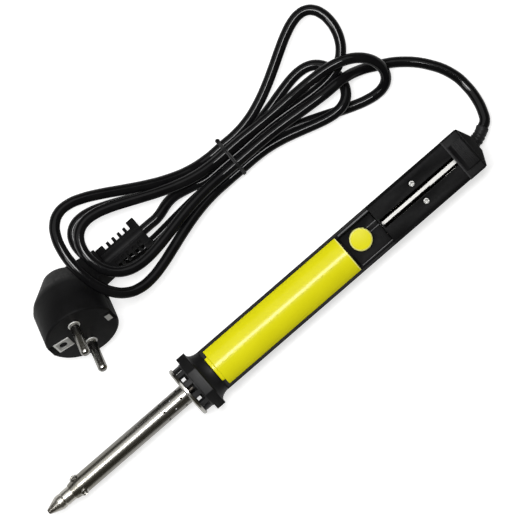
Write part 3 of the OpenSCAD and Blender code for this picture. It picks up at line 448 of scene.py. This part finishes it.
def rounded(node, name, finish, width, body="handle", segments=2):
    """The node's own solid with its edges broken, as a moulded or machined piece has them."""
    piece = link(name, baked(solid(node), name), finish, body)
    edge = piece.modifiers.new("broken_edges", "BEVEL")
    edge.width = width * mm
    edge.segments = segments
    edge.limit_method = "ANGLE"
    edge.angle_limit = math.radians(corner_angle)
    edge.harden_normals = True
    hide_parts(node)
    return piece


plug_black = dress("plug_black", lambda w: mottled(w, 14, (0.004, 0.004, 0.0043), (0.008, 0.008, 0.0085)),
                   lambda w: 0.36 + 0.2 * grain(w, 2.5, 4), lambda w: grain(w, 0.4, 3), 0.02, level=0.1)
pin_nickel = dress("pin_nickel", lambda w: grain(w, 3, 3).blend((0.36, 0.352, 0.33), (0.48, 0.472, 0.45)),
                   lambda w: 0.16 + 0.18 * grain(w, 1.5, 3), lambda w: grain(w, 0.25), 0.006, metal=1.0)
plug_moulding = rounded("plug_body", "plug_moulding", plug_black, 0.9, segments=3)
plug_comb = rounded("plug_boot", "plug_comb", plug_black, 0.35)
contact_pins = rounded("plug_pins", "contact_pins", pin_nickel, 0.3, segments=3)
pins = [mount for mount in frame["record"]["mounts"] if mount["kind"] == "pin"]
pin_places = [Vector(pin["pos_m"]) for pin in pins]
pin_axis = Vector(pins[0]["axis"])
pin_row = (pin_places[1] - pin_places[0]).normalized()
clip_row = pin_row.cross(pin_axis)
plug_middle = (pin_places[0] + pin_places[1]) / 2
clip_points = [vertex.co for vertex in frame["nodes"]["earth_clips"].data.vertices]
clip_face = max(pin_axis.dot(point - plug_middle) for point in clip_points) / mm
recess_from, recess_to = 0.8, 1.6
long_tab, short_tab, short_tab_w = 15.4, 16.8, 4.4
rim_from, rim_to, rim_w = 2.9, 3.3, 1.0
rubber_to = 5


def across_plug(wire, direction):
    """Millimetres from the point halfway between the pins, in a direction."""
    place = wire.node("ShaderNodeVectorMath", {"operation": "SUBTRACT"},
                      {0: wire.node("ShaderNodeTexCoord", out="Object"), 1: plug_middle})
    metres = wire.node("ShaderNodeVectorMath", {"operation": "DOT_PRODUCT"},
                       {0: place, 1: direction}, "Value")
    return metres * (1 / mm)


def recess_shade(wire):
    """0 on the plug's face to 1 down in the side recesses, where painted shade darkens the contacts."""
    return 1 - across_plug(wire, pin_axis).between(clip_face - recess_to, clip_face - recess_from)


def clip_colour(wire):
    """Painted highlights as bright rims round the flats, painted shade near-black down in the side recesses,
    and black where the rubber comes over the ends of the tabs.
    """
    out = across_plug(wire, clip_row)
    aside = wire.node("ShaderNodeMath", {"operation": "ABSOLUTE"}, {0: across_plug(wire, pin_row)})
    bare = (1 - out.between(long_tab, long_tab + 0.2)) * out.between(-short_tab - 0.2, -short_tab)
    rubber = aside.between(short_tab_w / 2, short_tab_w / 2 + 0.2)
    rubber = rubber * (1 - aside.between(rubber_to, rubber_to + 0.5))
    bare = bare * (1 - (1 - out.between(-1, 0)) * rubber)
    end_rim = out.between(long_tab - rim_w, long_tab - rim_w + 0.3)
    rim_highlight = wire.maths("MAXIMUM", aside.between(rim_from, rim_to), end_rim)
    dull = grain(wire, 3, 3).blend((0.50, 0.50, 0.485), (0.60, 0.60, 0.585))
    # The bright rims are a painted highlight; the near-black down in the recesses is painted shade.
    metal = rim_highlight.blend(dull, (0.92, 0.92, 0.90))
    return (bare * (1 - recess_shade(wire))).blend((0.006, 0.006, 0.006), metal)


clip_nickel = dress("clip_nickel", clip_colour, lambda w: 0.56 + 0.15 * grain(w, 1.5, 3),
                    lambda w: grain(w, 0.25), 0.006, metal=1.0)
earth_contacts = rounded("earth_clips", "earth_contacts", clip_nickel, 0.2)
collar_r, collar_wire_r, collar_steps = 2.75, 0.42, 40
for end, pin in enumerate(pins):
    foot = pin_places[end] - pin_axis * pin["dims"]["length_mm"] / 2 * mm
    side = pin_axis.orthogonal().normalized()
    over = pin_axis.cross(side)
    ring = [foot + collar_r * mm * (math.cos(a) * side + math.sin(a) * over)
            for a in (2 * math.pi * k / collar_steps for k in range(collar_steps))]
    collar = tube(f"pin_collar_{end}", ring, collar_wire_r * mm, 10, closed=True)
    link(f"pin_collar_{end}", collar, clip_nickel)
on_bench(*relief_tip)


# Hot end: drawn steel barrel with vent holes, a turned nozzle in its nose and three cross-slot screws
# that hold it. The polished disc behind the barrel keeps its heat off the collar.
def streaks(wire, size, stretch=0.03):
    """Fine lines along the iron, as drawing a tube or rod leaves them."""
    place = wire.node("ShaderNodeTexCoord", out="Object")
    drawn = wire.node("ShaderNodeVectorMath", {"operation": "MULTIPLY"}, {0: place, 1: (stretch, 1, 1)})
    return wire.node("ShaderNodeTexNoise", None, {"Vector": drawn, "Scale": 1 / (size * mm), "Detail": 3})


def measure(wire, way):
    """One coordinate of a place on the object, in metres: X, Y or Z."""
    place = wire.node("ShaderNodeTexCoord", out="Object")
    return wire.node("ShaderNodeSeparateXYZ", None, {"Vector": place}, way)


def along(wire, start, stop):
    """0 to 1 along the iron between two distances from the nozzle's end."""
    return measure(wire, "X").between((start - tip_to_middle) * mm, (stop - tip_to_middle) * mm)


def off_axis(wire, start, stop):
    """0 to 1 between two distances from the iron's axis, in millimetres."""
    place = wire.node("ShaderNodeVectorMath", {"operation": "SUBTRACT"},
                      {0: wire.node("ShaderNodeTexCoord", out="Object"), 1: laid(0, 0, 0)})
    across = wire.node("ShaderNodeVectorMath", {"operation": "MULTIPLY"}, {0: place, 1: (0, 1, 1)})
    reach = wire.node("ShaderNodeVectorMath", {"operation": "LENGTH"}, {0: across}, "Value")
    return reach.between(start * mm, stop * mm)


round_lean, end_face = math.radians(14), 0.05


def turned(node, name, finish, width, body="handle", angle=25, drop=0):
    """A node turned about the iron's axis, or a line drop below it: edges broken, shaded as a true round."""
    axis = laid(0, 0, -drop)
    mesh = solid(node)
    sharp = [edge for edge in mesh.edges
             if len(edge.link_faces) == 2 and edge.calc_face_angle() > math.radians(angle)]
    bmesh.ops.bevel(mesh, geom=sharp, offset=width * mm, offset_type="OFFSET", segments=2, profile=0.5,
                    affect="EDGES", clamp_overlap=True)
    bmesh.ops.triangulate(mesh, faces=[face for face in mesh.faces if len(face.verts) > 4])
    data = baked(mesh, name)
    normals = []
    for face in data.polygons:
        side = Vector((0, face.normal.y, face.normal.z))
        for vertex in face.vertices:
            out = data.vertices[vertex].co - axis
            out.x = 0
            out.normalize()
            lean = side.angle(out, 1) if out.length and side.length > end_face else 1
            if min(lean, math.pi - lean) < round_lean:
                out *= side.length if lean < 1 else -side.length
                normals.append((face.normal.x, out.y, out.z))
            else:
                normals.append(face.normal)
    data.normals_split_custom_set(normals)
    piece = link(name, data, finish, body)
    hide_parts(node)
    return piece


barrel_low, barrel_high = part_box("heater_barrel")
barrel_r = (barrel_high.y - barrel_low.y) / 2 / mm
nose_l = 4.7
nose_end = from_tip(barrel_low.x) + nose_l
burnt_from, burnt_to = 0.5, 6
straw_from, straw_to = 18, 60
covered_from = 91.6
# Near-black for painted shade inside the barrel and under the collar, together with heat scale.
scale_and_shade_black = (0.02, 0.018, 0.016)


def polished(wire):
    """Polished outside, with a straw tint from the heat; near-black in the bore and under the collar, painted
    shade with heat scale.
    """
    outside = along(wire, straw_from, straw_to).blend((0.33, 0.318, 0.278), (0.35, 0.341, 0.318))
    inside = 1 - off_axis(wire, barrel_r - 0.3, barrel_r - 0.15)
    bore = along(wire, nose_end, nose_end + 0.2) * inside
    collar_shade = along(wire, covered_from, covered_from + 0.4)
    return wire.maths("MAXIMUM", bore, collar_shade).blend(outside, scale_and_shade_black)


nozzle_steel = dress("nozzle_steel",
                     lambda w: along(w, burnt_from, burnt_to).blend((0.30, 0.28, 0.25), (0.62, 0.60, 0.55)),
                     lambda w: 0.2 + 0.2 * grain(w, 0.9, 4), lambda w: grain(w, 0.3, 3), 0.02, metal=1.0)
barrel_steel = dress("barrel_steel", polished, lambda w: 0.22 + 0.1 * streaks(w, 0.3),
                     lambda w: streaks(w, 0.25), 0.004, metal=1.0)
disc_steel = dress("disc_steel", lambda w: grain(w, 2, 3).blend((0.50, 0.49, 0.46), (0.62, 0.61, 0.58)),
                   lambda w: 0.14 + 0.12 * grain(w, 0.8, 3), lambda w: grain(w, 0.25), 0.004, metal=1.0)
# The suction tube is near-black: painted shade inside the barrel with its heat scale, so the vent holes look
# dark.
scaled_steel = dress("scaled_steel", lambda w: grain(w, 2, 3).blend(scale_and_shade_black, (0.06, 0.05, 0.04)),
                     lambda w: 0.5 + 0.2 * grain(w, 0.8, 3), lambda w: grain(w, 0.3), 0.02, metal=1.0)
turned("nozzle", "hollow_nozzle", nozzle_steel, 0.2, angle=15)
turned("heater_barrel", "vented_barrel", barrel_steel, 0.12)
rounded("tip_screws", "nozzle_screws", disc_steel, 0.3)
turned("barrel_flange", "heat_disc", disc_steel, 0.15, angle=20)
turned("suction_tube", "suction_pipe", scaled_steel, 0.08)


# Heater: steatite bobbin on the suction tube, wound with one layer of resistance wire between its flanges.
# A washer of pressed mica behind it closes the barrel, with holes for the tube and the leads.
def coil(name, low, high, axis, wire_d, turns, closed=1.0, steps=20):
    """Round wire wound to fill the box from low to high along axis, with its end turns closed up."""
    middle, size = (low + high) / 2, high - low
    first, second = (i for i in range(3) if i != axis)
    radius, rise = (min(size[first], size[second]) - wire_d) / 2, size[axis] - wire_d
    places = []
    for k in range(round(turns * steps) + 1):
        turn = k / steps
        if turn < closed:
            climb = wire_d * turn
        elif turns - turn < closed:
            climb = rise - wire_d * (turns - turn)
        else:
            climb = wire_d * closed + (rise - 2 * wire_d * closed) * (turn - closed) / (turns - 2 * closed)
        place = middle.copy()
        place[axis] = low[axis] + wire_d / 2 + climb
        place[first] += radius * math.cos(2 * math.pi * turn)
        place[second] += radius * math.sin(2 * math.pi * turn)
        places.append(place)
    return tube(name, places, wire_d / 2, 8)


bobbin_end = from_tip(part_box("heater_core")[1].x)
shaded_from, shaded_to = bobbin_end - 6, bobbin_end - 2


def steatite_colour(wire):
    """Cream, with painted shade darkening its rear end, under the collar."""
    cream = mottled(wire, 4, (0.66, 0.62, 0.54), (0.76, 0.73, 0.66))
    return along(wire, shaded_from, shaded_to).blend(cream, (0.05, 0.04, 0.03))


steatite = dress("steatite", steatite_colour, lambda w: 0.55 + 0.2 * grain(w, 0.8, 3),
                 lambda w: grain(w, 0.25, 3), 0.03)
heater_wire_finish = dress("heater_wire_finish",
                           lambda w: grain(w, 2, 3).blend((0.20, 0.18, 0.16), (0.36, 0.33, 0.30)),
                           lambda w: 0.4 + 0.2 * grain(w, 0.6, 3), lambda w: grain(w, 0.2), 0.01, metal=1.0)
pressed_mica = dress("pressed_mica",
                     lambda w: mottled(w, 1.2, (0.42, 0.36, 0.25), (0.62, 0.56, 0.44), 4, 0.7),
                     lambda w: 0.35 + 0.3 * grain(w, 0.7, 3), lambda w: grain(w, 0.5, 3), 0.03)
turned("heater_core", "heater_bobbin", steatite, 0.15)
winding_low, winding_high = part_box("heater_winding")
heater_wire_d, winding_pitch = 0.7, 0.95
winding_turns = (winding_high.x - winding_low.x) / (winding_pitch * mm)
winding = coil("heater_wire", winding_low, winding_high, 0, heater_wire_d * mm, winding_turns, 0.01, 16)
heater_wire = link("heater_wire", winding, heater_wire_finish)
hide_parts("heater_winding")
rounded("heat_washer", "mica_washer", pressed_mica, 0.15)


# Collar: black moulding with an open cage of posts, an eight-sided guard that stops the iron rolling,
# and a hollow flare into the handle.
def moulded(wire, dark, light):
    """The soft mottling of moulded plastic."""
    return mottled(wire, 11, dark, light)


def above(wire, start, stop):
    """0 to 1 between two heights over the bench, in millimetres."""
    return measure(wire, "Z").between(start * mm, stop * mm)


collar_low, collar_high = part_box("front_collar")
guard_top = collar_high.z / mm
cage_front = from_tip(collar_low.x)
cage_ring_l, cage_l, post_r = 1.3, 6.3, 13


def collar_painted_highlights(wire):
    """Black moulding, with a painted highlight in grey on the guard's upper flat and on the cage's posts."""
    behind_ring = along(wire, cage_front + cage_ring_l, cage_front + cage_ring_l + 0.2)
    behind_posts = along(wire, cage_front + cage_l - 0.4, cage_front + cage_l - 0.2)
    posts = (behind_ring - behind_posts) * off_axis(wire, post_r - 0.5, post_r - 0.3)
    # The grey on the guard's top flat and along the posts is a painted highlight.
    painted_highlight = wire.maths("MAXIMUM", above(wire, guard_top - 0.35, guard_top - 0.2), posts)
    return painted_highlight.blend(moulded(wire, (0.007, 0.007, 0.0075), (0.011, 0.011, 0.0115)),
                     moulded(wire, (0.026, 0.026, 0.027), (0.036, 0.036, 0.037)))


collar_black = dress("collar_black", collar_painted_highlights, lambda w: 0.38 + 0.16 * grain(w, 2, 4),
                     lambda w: grain(w, 0.3, 3), 0.03, level=0.15)
rounded("front_collar", "cage_and_guard", collar_black, 0.4)

# Handle: lower casing in black moulding, glossy yellow cover over the pump, and a plain tail with cut
# corners. The cover's front lip is narrower and hooks over the casing's front wall.
case_black = dress("case_black", lambda w: moulded(w, (0.004, 0.004, 0.0042), (0.007, 0.007, 0.0072)),
                   lambda w: 0.4 + 0.18 * grain(w, 2, 4), lambda w: grain(w, 0.25, 3), 0.02, level=0.12)
cover_low, cover_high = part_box("top_cover")
cover_end, cover_foot = from_tip(cover_high.x), cover_low.z / mm
cover_r = 14
cover_drop = cover_r - (cover_high.z / mm - axis_z)


def yellow(wire, pale_highlight):
    """Clear yellow, paler where a painted highlight lies along its edges."""
    # The pale yellow is a painted highlight.
    return pale_highlight.blend(mottled(wire, 18, (0.77, 0.72, 0.008), (0.81, 0.76, 0.010)), (0.88, 0.86, 0.26))


def cover_colour(wire):
    """The yellow, with a painted highlight along the cover's rear end and lower edges."""
    rear_end = along(wire, cover_end - 0.7, cover_end - 0.4)
    lower_edges = 1 - above(wire, cover_foot + 0.3, cover_foot + 0.7)
    return yellow(wire, wire.maths("MAXIMUM", rear_end, lower_edges))


cover_yellow = dress("cover_yellow", cover_colour, lambda w: 0.2 + 0.05 * grain(w, 3, 4),
                     lambda w: grain(w, 2.5), 0.008, level=0.25)
rounded("lower_casing", "case_shell", case_black, 0.45)
turned("top_cover", "pump_cover", cover_yellow, 0.3, drop=cover_drop)
rounded("tail_cap", "case_tail", case_black, 0.45)


# Button bay and rear deck: black plates let into the casing, the deck slotted for the slider's stem
# and held by two small cross-slot screws.
def beside(wire, start, stop):
    """0 to 1 across the iron, between two distances from its middle towards the hank."""
    return measure(wire, "Y").between(start * mm, stop * mm)


def plate_colour(wire):
    return moulded(wire, (0.0035, 0.0035, 0.0038), (0.006, 0.006, 0.0063))


bay_front = from_tip(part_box("bay_plate")[0].x)
bay_floor_z = 20.6
rail_h, rail_from = 1, 1.65
# Bands across the iron where the edges of the rails and guide carry a painted highlight.
highlight_bands = [(9.6, 10.4), (3.5, 4.2), (0.6, 1.2), (-9.3, -8.7)]


def edge_highlights(wire):
    """Black plate, with a painted highlight in grey along the edges of its raised rails and guide."""
    raised = above(wire, bay_floor_z + rail_h - 0.2, bay_floor_z + rail_h)
    raised = raised * along(wire, bay_front + rail_from, bay_front + rail_from + 0.2)
    edges = sum(beside(wire, start, start + 0.1) - beside(wire, stop, stop + 0.1)
                for start, stop in highlight_bands)
    return (raised * edges).blend(plate_colour(wire), moulded(wire, (0.12, 0.12, 0.125), (0.18, 0.18, 0.185)))


deck_black = dress("deck_black", plate_colour, lambda w: 0.44 + 0.2 * grain(w, 2, 4),
                   lambda w: grain(w, 0.25, 3), 0.02, level=0.08)
bay_black = dress("bay_black", edge_highlights, lambda w: 0.44 + 0.2 * grain(w, 2, 4),
                  lambda w: grain(w, 0.25, 3), 0.02, level=0.08)
screw_nickel = dress("screw_nickel", lambda w: grain(w, 1.2, 3).blend((0.25, 0.25, 0.24), (0.36, 0.36, 0.35)),
                     lambda w: 0.36 + 0.15 * grain(w, 0.6, 3), lambda w: grain(w, 0.2), 0.008, metal=1.0)
rounded("bay_plate", "button_bay", bay_black, 0.25)
rounded("rear_cover", "slotted_deck", deck_black, 0.3)
rounded("cover_screws", "deck_screws", screw_nickel, 0.12)

# Pump: white nylon cylinder between two screwed-in caps, inside the casing under the yellow cover.
# The rear cap holds a brass bush for the rod, and the front cap's nipple takes the suction tube.
nylon_white = dress("nylon_white", lambda w: moulded(w, (0.62, 0.61, 0.56), (0.72, 0.71, 0.67)),
                    lambda w: 0.32 + 0.15 * grain(w, 2, 3), lambda w: grain(w, 0.5, 3), 0.015)
cap_grey = dress("cap_grey", lambda w: moulded(w, (0.012, 0.012, 0.0125), (0.02, 0.02, 0.021)),
                 lambda w: 0.38 + 0.2 * grain(w, 1.5, 4), lambda w: grain(w, 0.3, 3), 0.02, level=0.25)
turned_brass = dress("turned_brass", lambda w: grain(w, 1.5, 3).blend((0.60, 0.42, 0.15), (0.72, 0.53, 0.22)),
                     lambda w: 0.22 + 0.15 * grain(w, 0.6, 3), lambda w: grain(w, 0.2), 0.006, metal=1.0)
turned("pump_cylinder", "pump_tube", nylon_white, 0.2)
turned("pump_front_cap", "nipple_cap", cap_grey, 0.2)
turned("pump_rear_cap", "rod_cap", cap_grey, 0.2)
turned("rod_bush", "brass_bush", turned_brass, 0.15)

# Pump slide: steel rod with flats and a latch notch, a nylon piston with a rubber ring at its front end,
# and the ribbed thumb slider pinned to its tail. All of it moves together to cock the pump.
# The rod's sides are painted near-black as a painted dark reflection; only a band along its top shows bare
# steel.
rod_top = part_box("piston_rod")[1].z / mm
top_band_from, top_band_to, top_band_drop, top_band_edge = -1.2, 1, 0.65, 0.15
slider_front = from_tip(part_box("thumb_slider")[0].x)


def bright_top_band(wire):
    """1 on a band along the rod's top, which shows bare steel, 0 on its sides, painted near-black as a
    painted reflection.
    """
    middle = beside(wire, top_band_from, top_band_from + top_band_edge) * (1 - beside(wire, top_band_to - top_band_edge, top_band_to))
    return above(wire, rod_top - top_band_drop, rod_top - top_band_drop + top_band_edge) * middle


def rod_colour(wire):
    bright = streaks(wire, 0.4).blend((0.30, 0.297, 0.285), (0.38, 0.376, 0.362))
    # The near-black on the rod's sides is a painted dark reflection.
    return bright_top_band(wire).blend((0.006, 0.005, 0.004), bright)


def slider_colour(wire):
    """Black moulding, with a painted highlight in grey along its front edge."""
    black = moulded(wire, (0.007, 0.007, 0.0075), (0.012, 0.012, 0.0125))
    # The grey along the front edge is a painted highlight.
    return along(wire, slider_front + 0.5, slider_front + 0.8).blend((0.036, 0.036, 0.037), black)


rod_steel = dress("rod_steel", rod_colour, lambda w: 0.6 - 0.2 * bright_top_band(w) + 0.1 * streaks(w, 0.3),
                  lambda w: streaks(w, 0.2), 0.004, metal=1.0)
slider_grey = dress("slider_grey", slider_colour, lambda w: 0.4 + 0.2 * grain(w, 1.5, 4),
                    lambda w: grain(w, 0.3, 3), 0.02, level=0.1)
seal_black = dress("seal_black", lambda w: moulded(w, (0.012, 0.012, 0.012), (0.02, 0.02, 0.02)),
                   lambda w: 0.5 + 0.2 * grain(w, 1, 3), lambda w: grain(w, 0.3, 3), 0.01, level=0.3)
turned("piston_rod", "latch_rod", rod_steel, 0.1, "cocking_slider")
turned("piston", "nylon_piston", nylon_white, 0.2, "cocking_slider")
turned("piston_ring", "seal_ring", seal_black, 0.3, "cocking_slider")
rounded("slider_pin", "cross_pin", screw_nickel, 0.12, "cocking_slider")
rounded("thumb_slider", "ribbed_slider", slider_grey, 0.35, "cocking_slider")

# Main spring: plated music wire, eleven turns, between the cylinder's front cap and the piston.
# Cocking closes it up against the front cap.
spring_wire_finish = dress("spring_wire_finish",
                           lambda w: grain(w, 2, 3).blend((0.42, 0.42, 0.40), (0.58, 0.58, 0.56)),
                           lambda w: 0.25 + 0.15 * grain(w, 0.6, 3), lambda w: grain(w, 0.3), 0.008,
                           metal=1.0)
spring_low, spring_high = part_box("main_spring")
spring_wire_d, spring_turns = 0.9, 11
spring_coil = coil("main_coil", spring_low, spring_high, 0, spring_wire_d * mm, spring_turns)
main_coil = link("main_coil", spring_coil, spring_wire_finish)
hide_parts("main_spring")
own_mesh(main_coil)

# Release button: round yellow cap in the bay plate, with a ring below it that the rod runs through.
# A small spring under the ring lifts it, so its lower lip catches the notch of the cocked rod.
button_low, button_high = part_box("release_button")
button_middle = ((button_low + button_high) / 2).xy.to_3d()
button_r = (button_high.x - button_low.x) / 2 / mm


def button_colour(wire):
    """The cover's yellow, with a painted highlight in paler yellow round the rim."""
    place = wire.node("ShaderNodeVectorMath", {"operation": "MULTIPLY"},
                      {0: wire.node("ShaderNodeTexCoord", out="Object"), 1: (1, 1, 0)})
    off_middle = wire.node("ShaderNodeVectorMath", {"operation": "DISTANCE"},
                           {0: place, 1: button_middle}, "Value")
    return yellow(wire, off_middle.between((button_r - 0.8) * mm, (button_r - 0.5) * mm))


button_yellow = dress("button_yellow", button_colour, lambda w: 0.3 + 0.1 * grain(w, 3, 4),
                      lambda w: grain(w, 2.5), 0.008, level=0.1)
rounded("release_button", "round_button", button_yellow, 0.3, "button")
lift_low, lift_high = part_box("button_spring")
lift_wire_d, lift_turns = 0.5, 5
lift_coil = coil("button_coil", lift_low, lift_high, 2, lift_wire_d * mm, lift_turns)
button_coil = link("button_coil", lift_coil, spring_wire_finish)
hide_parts("button_spring")
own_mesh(button_coil)

# Wiring: the cord's sheath ends in a screwed clamp, and its cores run through a terminal block
# and along both sides of the pump to the heater. The earth core goes to the barrel.
block_cream = dress("block_cream", lambda w: moulded(w, (0.58, 0.55, 0.46), (0.68, 0.65, 0.56)),
                    lambda w: 0.4 + 0.2 * grain(w, 1.5, 3), lambda w: grain(w, 0.4, 3), 0.02)
rounded("terminal_block", "screw_block", block_cream, 0.3)
rounded("cord_clamp", "clamp_bar", nylon_white, 0.3)
rounded("clamp_screws", "clamp_screw_pair", screw_nickel, 0.12)


def lead_sleeve(name, dark, light):
    return dress(name, lambda w: moulded(w, dark, light), lambda w: 0.35 + 0.15 * grain(w, 1, 3),
                 lambda w: grain(w, 0.5), 0.01)


lead_brown = lead_sleeve("lead_brown", (0.10, 0.035, 0.012), (0.15, 0.055, 0.02))
lead_green = lead_sleeve("lead_green", (0.03, 0.20, 0.03), (0.05, 0.27, 0.045))
lead_yellow = lead_sleeve("lead_yellow", (0.66, 0.55, 0.02), (0.74, 0.63, 0.03))
lead_r, lead_sides, stripe_sides = 0.7, 12, 4
cord_y, cord_z, clamp_x = 0.8, -8.5, 250
core_route = [(255.5, 1.3, -8.5), (253, 1.5, -8.5), (246, 1.6, -10.8), (241.2, 2.4, -10.8), (238, 4, -10.8),
              (226, 4, -10.8), (222, 4.6, -10.8), (214, 6.6, -10.8), (198, 6.6, -10.4), (192, 5.2, -10),
              (122, 5.2, -10), (118.5, 4.2, -8.6), (115.5, 2.2, -4), (113, 1.75, -3), (73, 1.75, -3)]
for side, core in ((1, "core_left"), (-1, "core_right")):
    line = eased([laid(x, side * y + (cord_y if x > clamp_x else 0), z) for x, y, z in core_route], passes=3)
    lead = link(core, tube(core, line, lead_r * mm, lead_sides), lead_brown)
    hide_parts("mains_leads")
earth_route = [(255.5, 0.8, -10), (253, 0.8, -10.3), (244, 0, -10.8), (238, 0, -10.8), (226, 0, -10.8),
               (223, 0.4, -10.8), (214, 4.6, -11.6), (211, 6, -12), (201, 6, -11.8), (197, 4, -11.2),
               (192, 0, -10), (122, 0, -10), (118.5, 0, -9), (115.5, 0, -4.6), (113, 0, -4), (111, 0, -4)]
line = eased([laid(*point) for point in earth_route], passes=3)
earth_core = link("earth_core", tube("earth_core", line, lead_r * mm, lead_sides), lead_green)
earth_core.data.materials.append(lead_yellow)
for face in earth_core.data.polygons:
    striped = len(face.vertices) == 4 and face.index % lead_sides < stripe_sides
    face.material_index = 1 if striped else 0
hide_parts("earth_lead")
sheath_profile = [(255.5, 1.9), (255.6, 2.6), (255.9, 2.72), (257.5, 2.72), (259, 2.6), (262, 2.6),
                  (263.5, 2.72), (268, 2.72)]
sheath = tube("sheath_end", [laid(x, cord_y, cord_z) for x, _ in sheath_profile],
              [radius * mm for _, radius in sheath_profile], 24)
sheath_end = link("sheath_end", sheath, cord_black)
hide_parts("cord_inner")
